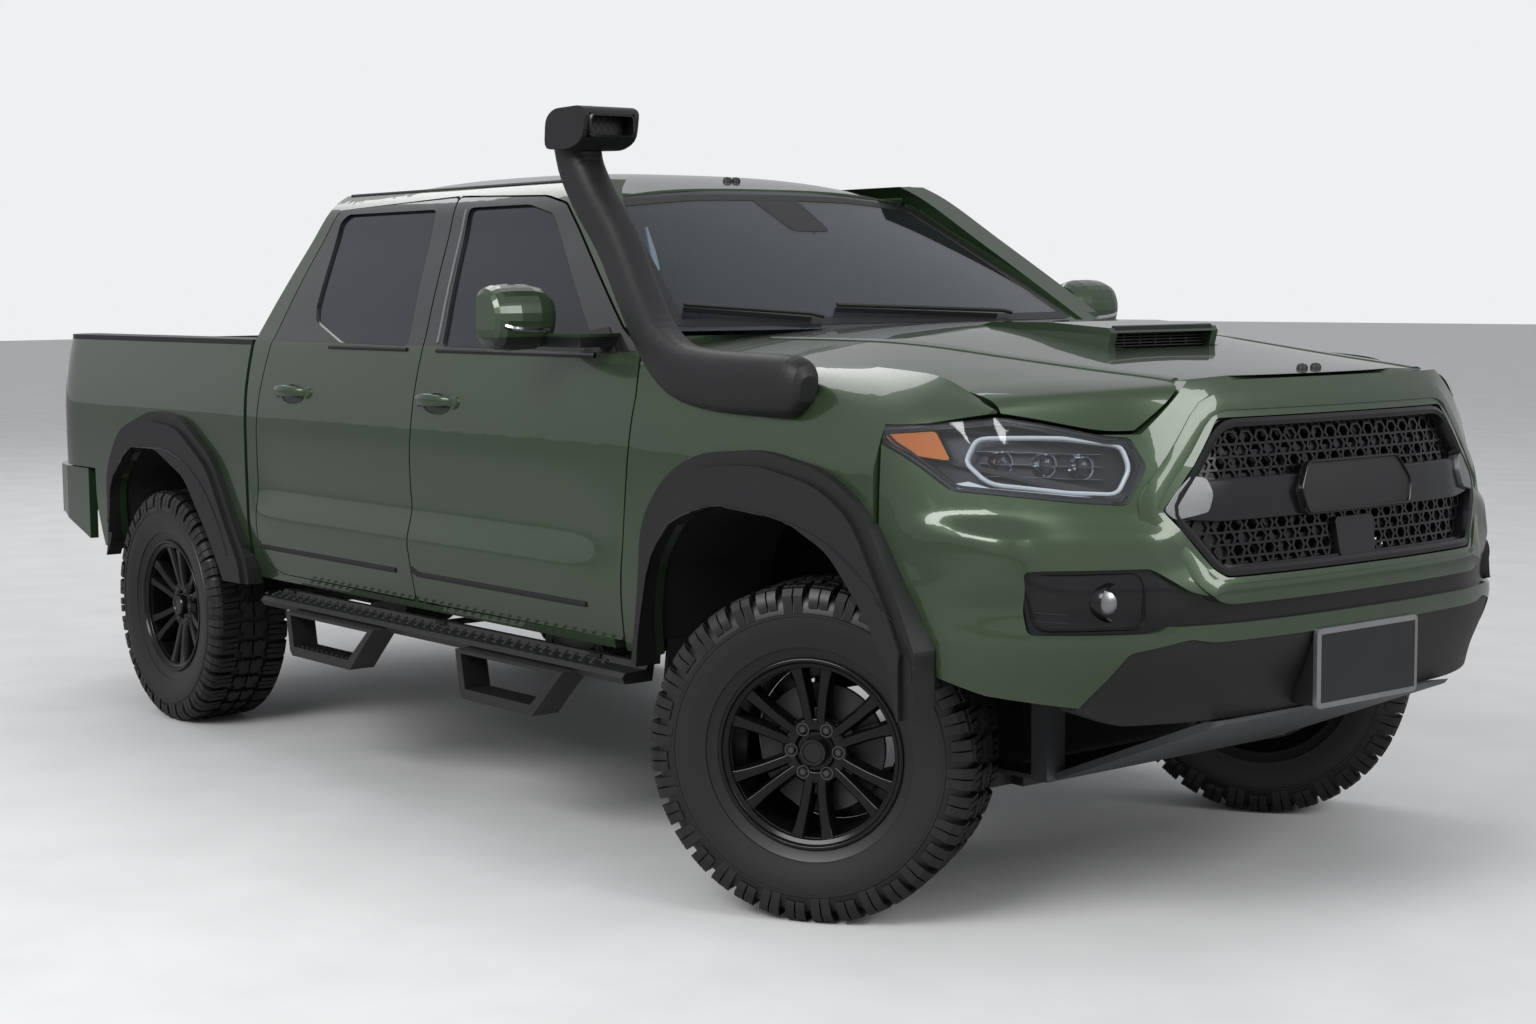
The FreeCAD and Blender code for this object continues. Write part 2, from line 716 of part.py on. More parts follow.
LAMP = ((585, 1122), (620, 1124), (700, 1148), (760, 1164), (850, 1152), (927, 1140), (927, 1132),
        (905, 1096), (880, 1058), (850, 1008), (690, 986), (612, 980), (566, 1062))
REAR_SHOULDER = ((6, 586), (14, 640), (27, 700), (37, 738), (58, 751), (104, 757), (164, 760))
FRONT_SHOULDER = ((10, 530), (20, 560), (38, 600), (70, 640), (110, 672), (140, 690), (164, 703))
WING_TAPER = ((0, 0), (940, 0), (1053, 70), (1140, 140))
SIDE_HEIGHTS = (0, 40, 80, 120, 160, 185, 205, 230, 265, 300, 340, 380, 425, 470, 510)


def wing_section(x):
    """Half-section of the wing at x: (y, z) from the sill over the shoulder to the bonnet gap."""
    shut = smooth_value([(a + nose_shift, b + lift) for a, b in SHUT_LINE], x)
    share = (x - front_x) / 973
    taper = smooth_value(WING_TAPER, x - front_x)
    edge = float(half_width)
    top_y = bonnet_half + gap
    points = [(edge - side_inset(x, sill_z + dz) - taper, sill_z + dz) for dz in SIDE_HEIGHTS]
    count = len(REAR_SHOULDER)
    for i, (rear, front) in enumerate(zip(REAR_SHOULDER, FRONT_SHOULDER), start=1):
        inset = blend(rear[0], front[0], share)
        height = sill_z + blend(rear[1], front[1], share)
        top = sill_z + blend(REAR_SHOULDER[-1][1], FRONT_SHOULDER[-1][1], share)
        weight = (i / count) ** 2
        y = (edge - inset) * 1.0 - taper * (1 - i / count)
        full = (edge - blend(REAR_SHOULDER[-1][0], FRONT_SHOULDER[-1][0], share))
        points.append((y + (top_y - full) * weight, height + (shut - top) * weight))
    return points


WING_ROWS = len(SIDE_HEIGHTS) + len(REAR_SHOULDER) - 1


def wing_point(x, s):
    section = wing_section(x)
    ys = [(i, p[0]) for i, p in enumerate(section)]
    zs = [(i, p[1]) for i, p in enumerate(section)]
    return Vector(x, smooth_value(ys, s), smooth_value(zs, s))


ARCH_FRONT = ((1242, 420), (1262, 600), (1308, 786), (1391, 889), (1565, 942), (1821, 925),
              (1976, 862), (2085, 750), (2165, 641), (2230, 420))
ARCH_REAR = ((-1965, 500), (-1900, 575), (-1865, 788), (-1704, 915), (-1503, 918), (-1279, 834),
             (-1106, 650), (-1006, 519), (-960, 420))
FLARE_FRONT = ((1198, 420), (1243, 683), (1262, 881), (1365, 1000), (1504, 1058), (1728, 1075),
               (1939, 1041), (2071, 973), (2199, 760), (2245, 667), (2240, 640), (2240, 420))
FLARE_REAR = ((-1990, 420), (-1930, 560), (-1930, 821), (-1818, 965), (-1550, 1044), (-1318, 1027),
              (-1089, 900), (-939, 686), (-862, 590), (-840, 420))
rear_shift = float(rear_axle) + 1465


def arch(points, shift):
    return [(x + shift, z) for x, z in points]


WING_SEAM = 913
WING_THICK = 24


def wing_slab(outer, inner):
    """Slab of the left wing between two depths behind its skin."""
    return slab(set_in(wing_point, outer, 2.0, 0.05), set_in(wing_point, inner, 2.0, 0.05),
                lattice(front_x - 80, 2310 + nose_shift, 55), steps(0, WING_ROWS, 2 * WING_ROWS + 1))



def front_wing():
    shell = wing_slab(0, WING_THICK)
    door_edge = [(front_x + dx + gap, sill_z + dz) for dz, dx in FRONT_EDGE]
    cutter = [(0, 0), (door_edge[0][0] - 4, 0)] + door_edge + [(front_x + 10, belt_z + 300), (0, belt_z + 300)]
    shell = shell.cut(prism(cutter, "y", 500, 1100))
    shell = shell.cut(prism(rounded(arch(ARCH_FRONT, nose_shift), 40), "y", 500, 1100))
    ahead = [(WING_SEAM, 0), (WING_SEAM, 592), (1129, 632), (1160, 640), (1900, 640), (1900, 0)]
    shell = shell.cut(prism([(front_x + a, sill_z + b) for a, b in ahead], "y", 500, 1100))
    shell = shell.cut(nose_cut(grown(LAMP, NUDGE), 12, front_x + WING_SEAM))
    shell = shell.cut(block((-WIDE, WIDE), (0, bonnet_half + gap), (0, WIDE)))
    return shell.cut(block((2303 + nose_shift, WIDE), (0, 1100), (0, WIDE)))


def bonnet_stop():
    """Rubber rest under the bonnet's side, carried by the wing."""
    x = front_x + 700
    post = block((x, x + 40), (bonnet_half - 34, bonnet_half - 4), (belt_z - 90, belt_z + 20))
    foot = block((x, x + 40), (bonnet_half - 34, bonnet_half + 64), (belt_z - 90, belt_z - 56))
    over = slab(set_in(bonnet_point, -60, 0.002, 2.0), set_in(bonnet_point, 20 + NUDGE, 0.002, 2.0),
                BONNET_ROWS, BONNET_COLUMNS)
    outside = wing_slab(-60, 12)
    return post.cut(over).fuse(foot).cut(outside)


keep("front_wings", both(joined([front_wing(), bonnet_stop()])))

# Load bed
BED_PLAN = ((0, 0, 0), (1380, 1380, 0), (1460, 1459, 12), (1530, 1521, 46), (1600, 1565, 100),
            (1670, 1590, 165), (1740, 1600, 232))
BED_PLAN_END = 1740
bed_x = float(bed_front)
bed_end = float(bed_rear)
bed_top = belt_z - 8
bed_stretch = (bed_x - bed_end - 2) / 1600


def bed_point(s, z):
    back = smooth_value(column(BED_PLAN, 1), s) * bed_stretch
    inset = smooth_value(column(BED_PLAN, 2), s)
    lean = smooth_value(PLAIN_SIDE, (z - sill_z) * 740 / float(belt - sill))
    return Vector(bed_x - back, float(half_width) - inset - lean, z)


BED_THICK = 24


def bed_slab(z0, z1, outer, inner):
    """Slab of the left bed side between two depths behind its skin."""
    return slab(set_in(bed_point, outer, 2.0, 2.0), set_in(bed_point, inner, 2.0, 2.0),
                steps(0, BED_PLAN_END, 31), lattice(z0, z1, SIDE_ROW))


def bed_side():
    shell = bed_slab(sill_z, bed_top, 0, BED_THICK).common(block((-WIDE, 0), (0, 1200), (sill_z, bed_top)))
    foot = [(36, 0), (36, 590), (14, 680), (0, 800), (200, 800), (200, 0)]
    shell = shell.cut(prism([(x + bed_x, z) for x, z in foot], "y", 0, 1200))
    shell = shell.cut(prism(rounded(arch(ARCH_REAR, rear_shift), 40), "y", 500, 1200))
    shell = shell.cut(block((bed_end - 300, float(rear_axle) - 610), (0, 1200), (0, 818)))
    shell = shell.cut(prism(TAIL_LAMP, "y", 600, 1200))
    return shell.cut(block((bed_end - 50, bed_end + 300), (0, TAIL_POST), (0, 2000)))


TAIL_POST = 699.0
TAIL_LAMP = ((bed_end + 152, 838), (bed_end + 176, 1000), (bed_end + 170, 1178), (bed_end - 100, 1178),
             (bed_end - 100, 838))


def tail_lamp():
    shell = bed_slab(sill_z, bed_top, 0, BED_THICK - 2)
    shell = shell.common(prism(grown(TAIL_LAMP, -NUDGE), "y", 600, 1200))
    return shell.cut(block((bed_end - 50, bed_end + 300), (0, TAIL_POST), (0, 2000)))


keep("bed_sides", both(bed_side()))
keep("tail_lamps", both(tail_lamp()))
inner = named["bed_inner_half"]
bed_walls = [
    box("bed_floor_plate", (bed_rear + 44, bed_front - 3), (-inner, inner), (named["bed_floor"] - 18, named["bed_floor"])),
    box("bed_wall_left", (bed_rear + 44, bed_front - 3), (inner, inner + 20), (named["bed_floor"] - 18, belt - 32)),
    box("bed_wall_right", (bed_rear + 44, bed_front - 3), (-inner - 20, -inner), (named["bed_floor"] - 18, belt - 32)),
    box("bed_headboard", (bed_front - 43, bed_front - 3), (-inner, inner), (named["bed_floor"] - 18, belt - 14)),
    box("bed_housing_left", (rear_axle - 540, rear_axle + 540), (inner - 160, inner + 10), (named["bed_floor"] - 10, named["bed_floor"] + 210)),
    box("bed_housing_right", (rear_axle - 540, rear_axle + 540), (-inner - 10, -inner + 160), (named["bed_floor"] - 10, named["bed_floor"] + 210)),
]
bed_solid = fuse("bed_walls", bed_walls)
well_left = box("bed_well_left", (rear_axle - 528, rear_axle + 528), (inner - 148, inner + 60), (named["bed_floor"] - 60, named["bed_floor"] + 198))
well_right = box("bed_well_right", (rear_axle - 528, rear_axle + 528), (-inner - 60, -inner + 148), (named["bed_floor"] - 60, named["bed_floor"] + 198))
tub = cut("bed_tub", bed_solid, fuse("bed_wells", [well_left, well_right]))
hinge_x = bed_rear + 8
hinge_z = named["bed_floor"] - 18
post_length = inner + 20 - named["tailgate_half_width"] - NUDGE
trunnions = []
for tag, start in (("left", named["tailgate_half_width"] + NUDGE), ("right", -inner - 20)):
    trunnions.append(rod(f"tailgate_pin_{tag}", "y", (hinge_x, start, hinge_z), post_length, 6))
    arm_y = (inner, inner + 20) if tag == "left" else (-inner - 20, -inner)
    trunnions.append(box(f"tailgate_arm_{tag}", (hinge_x - 6, bed_rear + 60), arm_y, (hinge_z - 6, hinge_z + 24)))
keep("load_bed", fuse("bed_with_pins", [tub] + trunnions))


def bed_rail():
    """Cap along the top of the bed's side, following its plan round the rear corner."""
    edge = [bed_point(s, bed_top) for s in steps(0, BED_PLAN_END, 33)]
    edge = [(p.x, p.y - 6) for p in edge if bed_end + 44 < p.x < bed_x - 4]
    front = (bed_x - 4, edge[0][1])
    inner_y = float(inner) + 26
    plan = [(bed_x - 4, inner_y), front] + edge + [(bed_end + 44, edge[-1][1] - 4), (bed_end + 44, inner_y)]
    return prism(plan, "z", bed_top + NUDGE, bed_top + 16)


keep("bed_rails", both(bed_rail()))
tail_low = named["bed_floor"] - 26
keep("tailgate", box("tailgate_panel", (bed_rear, bed_rear + 38), (-named["tailgate_half_width"], named["tailgate_half_width"]), (tail_low, belt - 14)))

# Nose
NOSE_LINE = ((500, -72), (560, -56), (640, -22), (700, -8), (800, -8), (850, -24), (1000, -46),
             (1165, -86), (1200, -98), (1236, -116), (1260, -134))
nose_x = float(half_length)


NOSE_PLAN = ((0, 0, 0), (100, 1, 1), (200, 4, 5), (300, 11, 12), (400, 22, 24), (490, 44, 56),
             (575, 78, 100), (650, 122, 172), (715, 178, 238), (770, 238, 318), (815, 296, 372),
             (850, 355, 422), (878, 417, 462), (900, 480, 503), (916, 545, 556), (926, 615, 620),
             (930, 690, 690))


CHEEK = ((520, 0), (570, 22), (740, 24), (850, 80), (905, 0))
CHEEK_RISE = ((760, 0), (900, 1), (925, 1), (947, 0))


def nose_sheet(depth):
    """Nose by plan position s, negative on the right, and height, with a full cheek on each side."""
    ys = [(i, row[0]) for i, row in enumerate(NOSE_PLAN)]
    lower = [(i, row[1]) for i, row in enumerate(NOSE_PLAN)]
    upper = [(i, row[2]) for i, row in enumerate(NOSE_PLAN)]

    def point(s, z):
        share = (z - 700) / 470
        place = abs(s)
        back = blend(smooth_value(lower, place), smooth_value(upper, place), share)
        y = math.copysign(smooth_value(ys, place), s)
        cheek = smooth_value(CHEEK, abs(y)) * smooth_value(CHEEK_RISE, z)
        return Vector(nose_x + smooth_value(NOSE_LINE, z) - back - depth + cheek, y, z)
    return point


def nose_slab(z0, z1, outer, inner):
    reach = len(NOSE_PLAN) - 1
    base = nose_sheet(0)
    return slab(set_in(base, outer, 0.1, 1.0), set_in(base, inner, 0.1, 1.0),
                steps(-reach, reach, 4 * reach + 1), lattice(z0, z1, SIDE_ROW))


GRILLE = ((395, 1158), (470, 1062), (552, 969), (455, 841), (430, 824))
POCKET = ((0, 787), (470, 787), (520, 800), (600, 852), (800, 846), (792, 712), (600, 716), (560, 728),
          (0, 728))
VALANCE = ((0, 690), (470, 690), (520, 700), (640, 674), (700, 545), (620, 512), (0, 512))
NOSE_TOP = ((0, 1236), (440, 1236), (565, 1128), (1000, 1124), (1000, 1400), (0, 1400))
BONNET_FRONT = ((0, 1243), (444, 1243), (572, 1134), (572, 1000), (0, 1000))


grille_outline = half_outline(GRILLE)
pocket_outline = half_outline(POCKET)
valance_outline = half_outline(VALANCE)


def front_fascia():
    shell = nose_slab(540, 1260, 0, 24)
    shell = shell.cut(nose_cut(grille_outline))
    shell = shell.cut(nose_cut(pocket_outline, 12, nose_x - 420))
    shell = shell.cut(nose_cut(grown(valance_outline, NUDGE), 12, nose_x - 700))
    shell = shell.cut(nose_cut(half_outline(NOSE_TOP), 1))
    for points in (LAMP, mirror_points(LAMP)):
        shell = shell.cut(nose_cut(grown(points, NUDGE), 12))
    arch_cut = prism(rounded(arch(ARCH_FRONT, nose_shift), 40), "y", -1200, 1200)
    foot = prism([(2000, 400), (2000, 640), (2154, 640), (2330, 577), (2541, 543), (2900, 500), (2900, 400)], "y", -1200, 1200)
    foot.translate(Vector(nose_shift, 0, 0))
    behind = block((0, front_x + WING_SEAM + gap), (-1200, 1200), (0, 2000))
    return shell.cut(arch_cut).cut(foot).cut(behind)


def front_valance():
    skin_part = nose_slab(500, 720, 4, 40).common(nose_cut(valance_outline, 12, nose_x - 700))
    wide = float(named["plate_width"]) / 2 + 6
    tall = float(named["plate_height"]) / 2 + 8
    bracket = block((nose_x - 80, nose_x - 6 - NUDGE), (-wide, wide), (PLATE_Z - tall, PLATE_Z + tall))
    cutter = nose_slab(480, 760, 30, 400)
    return joined([skin_part, bracket.cut(cutter)])


def bonnet_trimmed():
    """Bonnet with its front edge cut back along the nose's top band."""
    front = nose_slab(1100, 1260, -90, 32).common(nose_cut(half_outline(BONNET_FRONT), 1))
    return largest(whole_bonnet.cut(front))


PLATE_Z = 606.0
keep("bonnet", bonnet_trimmed())
keep("front_fascia", front_fascia())
keep("front_valance", front_valance())


def grille():
    """Framed mesh with six-sided openings and a plain bar, and the slot's blank below it."""
    outline = grown(grille_outline, -NUDGE)
    frame = nose_slab(815, 1180, 14, 56).common(nose_cut(outline))
    frame = frame.cut(nose_cut(grown(grille_outline, -24)))
    plate = nose_slab(815, 1180, 30, 40).common(nose_cut(grown(grille_outline, -10)))
    bar = nose_slab(815, 1180, 9, 46).common(nose_cut(grown(grille_outline, -14))).common(
        block((0, WIDE), (-WIDE, WIDE), (BAR_LOW, BAR_HIGH)))
    upper = joined([frame, plate.cut(Part.makeCompound(grille_openings())), bar])
    lower = nose_slab(690, 880, 14, 50).common(nose_cut(grown(pocket_outline, -NUDGE), 12, nose_x - 420))
    return Part.makeCompound([upper, lower])


BAR_LOW = 946.0
BAR_HIGH = 1030.0
MESH_PITCH = 76.0
MESH_ROW = 48.0


def grille_openings():
    """Six-sided holes in rows above and below the bar, inside the grille's own outline."""
    holes = []
    for first, way in ((BAR_LOW - MESH_ROW / 2 - 3, -1), (BAR_HIGH + MESH_ROW / 2 + 3, 1)):
        for row in range(2):
            z = first + way * row * MESH_ROW
            reach = 395 + (z - 1158) * -0.78 if z > 969 else 455 + (z - 841) * 0.76
            shift = MESH_PITCH / 2 if row % 2 else 0.0
            across = int((reach - 70 - shift) / MESH_PITCH)
            for k in range(-across - (1 if shift else 0), across + 1):
                holes.append(six_sided(k * MESH_PITCH + shift, z))
    return holes


def six_sided(y, z):
    wide = MESH_PITCH / 2 - 4
    tall = MESH_ROW / 2 - 4
    points = [(y - wide, z), (y - wide + 16, z + tall), (y + wide - 16, z + tall), (y + wide, z),
              (y + wide - 16, z - tall), (y - wide + 16, z - tall)]
    return prism(points, "x", nose_x - 400, nose_x + 20)


keep("grille", grille())


def front_lamp(outer, inner, outline):
    shell = nose_slab(960, 1180, outer, inner).common(nose_cut(outline, 12))
    return shell.cut(block((0, front_x + WING_SEAM + gap), (0, 1200), (0, 2000)))


LENS = 5
housing = front_lamp(LENS + NUDGE, 62, LAMP).cut(front_lamp(-20, 54, grown(LAMP, -9)))
keep("front_lamps", both(front_lamp(1, LENS, LAMP)))
keep("front_lamp_housings", both(largest(housing)))


def flare(outer_points, inner_points, shift):
    """Bevelled ring round a wheel opening, seated on the body side."""
    outer_edge = rounded(arch(outer_points, shift), 60)
    middle = grown(arch(outer_points, shift), -34)
    foot = polygon(outer_edge, "y")
    foot.translate(Vector(0, float(half_width) - 40, 0))
    ring = foot.extrude(Vector(0, 62, 0))
    crown = polygon(rounded(middle, 60), "y")
    crown.translate(Vector(0, float(half_width) + 20, 0))
    ring = ring.fuse(crown.extrude(Vector(0, 14, 0))).removeSplitter()
    ring = ring.cut(prism(rounded(arch(inner_points, shift), 40), "y", 500, 1300))
    ring = ring.cut(block((-WIDE, WIDE), (0, 1300), (0, sill_z - 20)))
    return ring


front_flare = flare(FLARE_FRONT, ARCH_FRONT, nose_shift)
seam_x = front_x + WING_SEAM + gap / 2
on_wing = wing_slab(-NUDGE, 200).common(block((0, seam_x), (0, 1300), (0, 2000)))
on_nose = nose_slab(500, 1180, -NUDGE, 120).common(block((seam_x, WIDE), (0, 1300), (0, 2000)))
front_flare = front_flare.cut(on_wing).cut(on_nose)
front_flare = largest(front_flare)
rear_flare = flare(FLARE_REAR, ARCH_REAR, rear_shift).cut(bed_slab(sill_z - 60, bed_top, -NUDGE, 200))
rear_flare = rear_flare.cut(side_slab(rear_x - 60, rear_x + 200, 300, belt_z - 20, -NUDGE, 300))
rear_flare = largest(rear_flare)
keep("arch_flares", Part.makeCompound([front_flare, mirrored(front_flare), rear_flare, mirrored(rear_flare)]))

# Wheel housings and mud flaps
def liner(points, shift, y0, y1):
    outer = prism(rounded(grown(arch(points, shift), 14), 40), "y", y0, y1)
    inner = prism(rounded(grown(arch(points, shift), 8), 40), "y", y0 - 10, y1 + 10)
    ring = outer.cut(inner)
    return ring.cut(block((-WIDE, WIDE), (0, 1300), (0, sill_z + 40)))


front_liner = largest(liner(ARCH_FRONT, nose_shift, 560, 925).cut(wing_slab(-60, WING_THICK + NUDGE)).cut(
    block((front_x + WING_SEAM - 12, WIDE), (840, 1200), (0, 2000))))
rear_liner = largest(liner(ARCH_REAR, rear_shift, 610, 925).cut(
    bed_slab(sill_z, bed_top, -60, BED_THICK + NUDGE)))


def mud_flap(top_x, lean):
    """Rubber flap hung under the end of a wheel housing."""
    top_z = sill_z + 40 - NUDGE
    return prism([(top_x, top_z), (top_x + 12, top_z), (top_x + 12 + lean, 255), (top_x + lean, 255)], "y", 690, 862)


flap = mud_flap(float(front_axle) - 527, -50)
rear_flap = mud_flap(float(rear_axle) - 452, -40)
keep("wheel_liners", Part.makeCompound([front_liner, mirrored(front_liner), rear_liner, mirrored(rear_liner)]))
keep("mud_flaps", Part.makeCompound([flap, mirrored(flap), rear_flap, mirrored(rear_flap)]))

# Ladder frame
rail_low = named["rail_bottom"]
rail_high = rail_low + named["rail_depth"]
RAIL_SIDE = ((half_length - 190, 40), (front_axle + 300, 40), (front_axle + 160, 70), (front_axle - 300, 70),
             (front_axle - 520, 0), (rear_axle + 565, 0), (rear_axle + 325, 130), (rear_axle - 420, 130),
             (rear_axle - 700, 60), (120.3 - half_length, 60))


def frame_rail(name, inner_face):
    body = doc.addObject("PartDesign::Body", name)
    lower = [(x, rail_low + dz) for x, dz in RAIL_SIDE]
    upper = [(x, rail_high + dz) for x, dz in RAIL_SIDE]
    sketch = outline_sketch(body, "XZ_Plane", lower + upper[::-1])
    pad = body.newObject("PartDesign::Pad", name + "_pad")
    pad.Profile = sketch
    bind(pad, Length=named["rail_width"])
    bind(body, Placement__Base__y=inner_face + named["rail_width"])
    return body


rails = [frame_rail("frame_rail_left", named["rail_outer"] - named["rail_width"]),
         frame_rail("frame_rail_right", -named["rail_outer"])]
rail_gap = named["rail_outer"] - named["rail_width"] - NUDGE
CROSS = ((half_length - 260, 40), (front_axle - 420, 30), (front_axle - 1150, 0), (rear_axle + 1250, 0),
         (rear_axle + 660, 20), (rear_axle - 360, 130), (340 - half_length, 60))
crossmembers = [box(f"crossmember_{i}", (x, x + 70), (-rail_gap, rail_gap),
                    (rail_low + dz + 25, rail_high + dz - 25)) for i, (x, dz) in enumerate(CROSS, start=1)]
cab_floor = sill + FLOOR_RISE
hangers = []
for sign, tag in ((1, "left"), (-1, "right")):
    rail_y = (named["rail_outer"] - 60, named["rail_outer"] - 15) if sign > 0 else (15 - named["rail_outer"], 60 - named["rail_outer"])
    spring_y = (named["rail_outer"] - 10, named["rail_outer"] + 85) if sign > 0 else (-named["rail_outer"] - 85, 10 - named["rail_outer"])
    for i, x in enumerate((door_front - 230, door_split - 60, cab_rear + 90), start=1):
        hangers.append(box(f"cab_mount_{tag}_{i}", (x, x + 70), rail_y, (rail_high - 5, cab_floor - NUDGE)))
    hangers.append(box(f"spring_hanger_front_{tag}", (rear_axle + 600, rear_axle + 640), spring_y,
                       (axle_height + 84 + NUDGE, rail_high + 10)))
    hangers.append(box(f"spring_hanger_rear_{tag}", (rear_axle - 640, rear_axle - 600), spring_y,
                       (axle_height + 84 + NUDGE, rail_high + 50)))
    for i, x in enumerate((bed_front - 120, rear_axle - 700), start=1):
        hangers.append(box(f"bed_mount_{tag}_{i}", (x, x + 70), rail_y, (rail_high - 5, named["bed_floor"] - 18 - NUDGE)))
frame_rails = fuse("frame_rail_pair", rails)
keep("ladder_frame", frame_rails)
keep("frame_crossmembers", fuse("crossmember_set", crossmembers))
keep("frame_brackets", cut("bracket_set", fuse("bracket_blanks", hangers), frame_rails))

# Engine, tank, exhaust
keep("engine", box("engine_block", (front_axle - 330, front_axle + 380), (size(-240), size(240)),
                   (axle_height + 60 + NUDGE, rail_low + 600)))
keep("gearbox", box("gearbox_case", (front_axle - 1080 + NUDGE, front_axle - 420 - NUDGE),
                    (size(-150), size(150)), (rail_low - 20, rail_high - 10)))
keep("fuel_tank", box("fuel_tank_shell", (rear_axle + 700, rear_axle + 1500), (named["rail_outer"] + NUDGE, named["rail_outer"] + 240),
                      (rail_low + 12, rail_high)))
pipe_y = -named["rail_outer"] - 120
pipe_z = rail_low + 60
muffler = rod("muffler", "x", (rear_axle + 845, pipe_y, pipe_z), 600, 80)
pipe = rod("tail_pipe", "x", (-half_length + 330, pipe_y, pipe_z), rear_axle + 860 + half_length - 330, 28)
front_pipe = rod("front_pipe", "x", (rear_axle + 1440, pipe_y, pipe_z), 900, 26)
hanger_y = (pipe_y, -named["rail_outer"] - NUDGE)
pipe_hangers = [box(f"pipe_hanger_{i}", (x, x + 14), hanger_y, (pipe_z - 8, pipe_z + 8))
                for i, x in enumerate((rear_axle + 1000, rear_axle + 2000), start=1)]
keep("exhaust", fuse("exhaust_line", [muffler, pipe, front_pipe] + pipe_hangers))

# Axles and suspension
axle_end = named["half_track"] + 30 - NUDGE
axle_tube = rod("rear_axle_tube", "y", (rear_axle, -axle_end, axle_height), axle_end * 2, 42)
diff = rod("rear_differential", "y", (rear_axle, -110, axle_height), 220, 150)
springs = [box(f"leaf_spring_{tag}", (rear_axle - 640, rear_axle + 640), (y, y + 60), (axle_height + 38, axle_height + 84))
           for tag, y in (("left", size(480)), ("right", size(-540)))]
keep("rear_axle", fuse("rear_axle_assembly", [axle_tube, diff] + springs))
KNUCKLE_LOW = -115
KNUCKLE_HIGH = 130
rail_foot = rail_low + 70 - NUDGE
arms = []


def side_range(sign, near, far):
    """Pair of y places on one side of the middle plane."""
    return (size(near), size(far)) if sign > 0 else (-size(far), -size(near))


for sign, tag in ((1, "left"), (-1, "right")):
    lower_z = (axle_height + KNUCKLE_LOW - 35, axle_height + KNUCKLE_LOW - NUDGE)
    arms.append(box(f"lower_arm_{tag}", (front_axle - 110, front_axle + 110), side_range(sign, 250, kingpin - 200), lower_z))
    arms.append(box(f"lower_joint_{tag}", (front_axle - 32, front_axle + 32), side_range(sign, kingpin - 210, kingpin + 20), lower_z))
    upper_z = (axle_height + KNUCKLE_HIGH, axle_height + KNUCKLE_HIGH + 24)
    arms.append(box(f"upper_arm_{tag}", (front_axle - 32, front_axle + 32),
                    side_range(sign, named["rail_outer"] - 20, kingpin + 18), upper_z))
    arms.append(rod(f"damper_{tag}", "z", (front_axle, sign * (named["rail_outer"] + 65), axle_height + KNUCKLE_LOW - 20), 420, 42))
    arms.append(box(f"cradle_leg_{tag}", (front_axle - 60, front_axle + 60),
                    side_range(sign, 240, named["rail_outer"] - 6), (axle_height - 110, rail_foot)))
cradle = box("front_cradle", (front_axle - 150, front_axle + 150), (size(-300), size(300)), (axle_height - 150, axle_height + 60))
keep("front_suspension", fuse("front_suspension_assembly", arms + [cradle]))

# Wheels and knuckles
steer = float(named["steer_rest"])
half_tyre = float(named["tyre_width"]) / 2
tread_radius = float(named["tyre_radius"])
bead_radius = float(named["bead_radius"])
TYRE_SIDES = 20
LUG_DEPTH = 16
LUG_LENGTH = 80
TYRE_ROWS = ((-94, bead_radius), (-103, bead_radius + 18), (-half_tyre, bead_radius + 68), (-half_tyre, bead_radius + 118),
             (-half_tyre + 16, tread_radius - LUG_DEPTH - 6), (-52, tread_radius - 3),
             (52, tread_radius - 3),
             (half_tyre - 16, tread_radius - LUG_DEPTH - 6),
             (half_tyre, bead_radius + 118), (half_tyre, bead_radius + 68), (103, bead_radius + 18),
             (94, bead_radius))
LUG = ((66, tread_radius - LUG_DEPTH - 16), (66, tread_radius), (half_tyre - 17, tread_radius - 1),
       (half_tyre - 1, tread_radius - 22), (half_tyre - 3, tread_radius - 60))


def place_wheel(item, front, sign):
    spin = FreeCAD.Rotation(Vector(0, 0, 1), 90 * sign)
    if front:
        turn = FreeCAD.Placement(Vector(float(front_axle), sign * float(kingpin), float(axle_height)),
                                 FreeCAD.Rotation(Vector(0, 0, 1), steer))
        out = FreeCAD.Placement(Vector(0, sign * float(named["kingpin_inset"]), 0), spin)
        item.Placement = turn.multiply(out)
    else:
        item.Placement = FreeCAD.Placement(
            Vector(float(rear_axle), sign * float(named["half_track"]), float(axle_height)), spin)


def ring_point(along, radius, index):
    """Corner of a many-sided ring about the x axis."""
    angle = math.pi * (2 * index + 1) / TYRE_SIDES
    reach = radius / math.cos(math.pi / TYRE_SIDES)
    return Vector(along, reach * math.sin(angle), -reach * math.cos(angle))


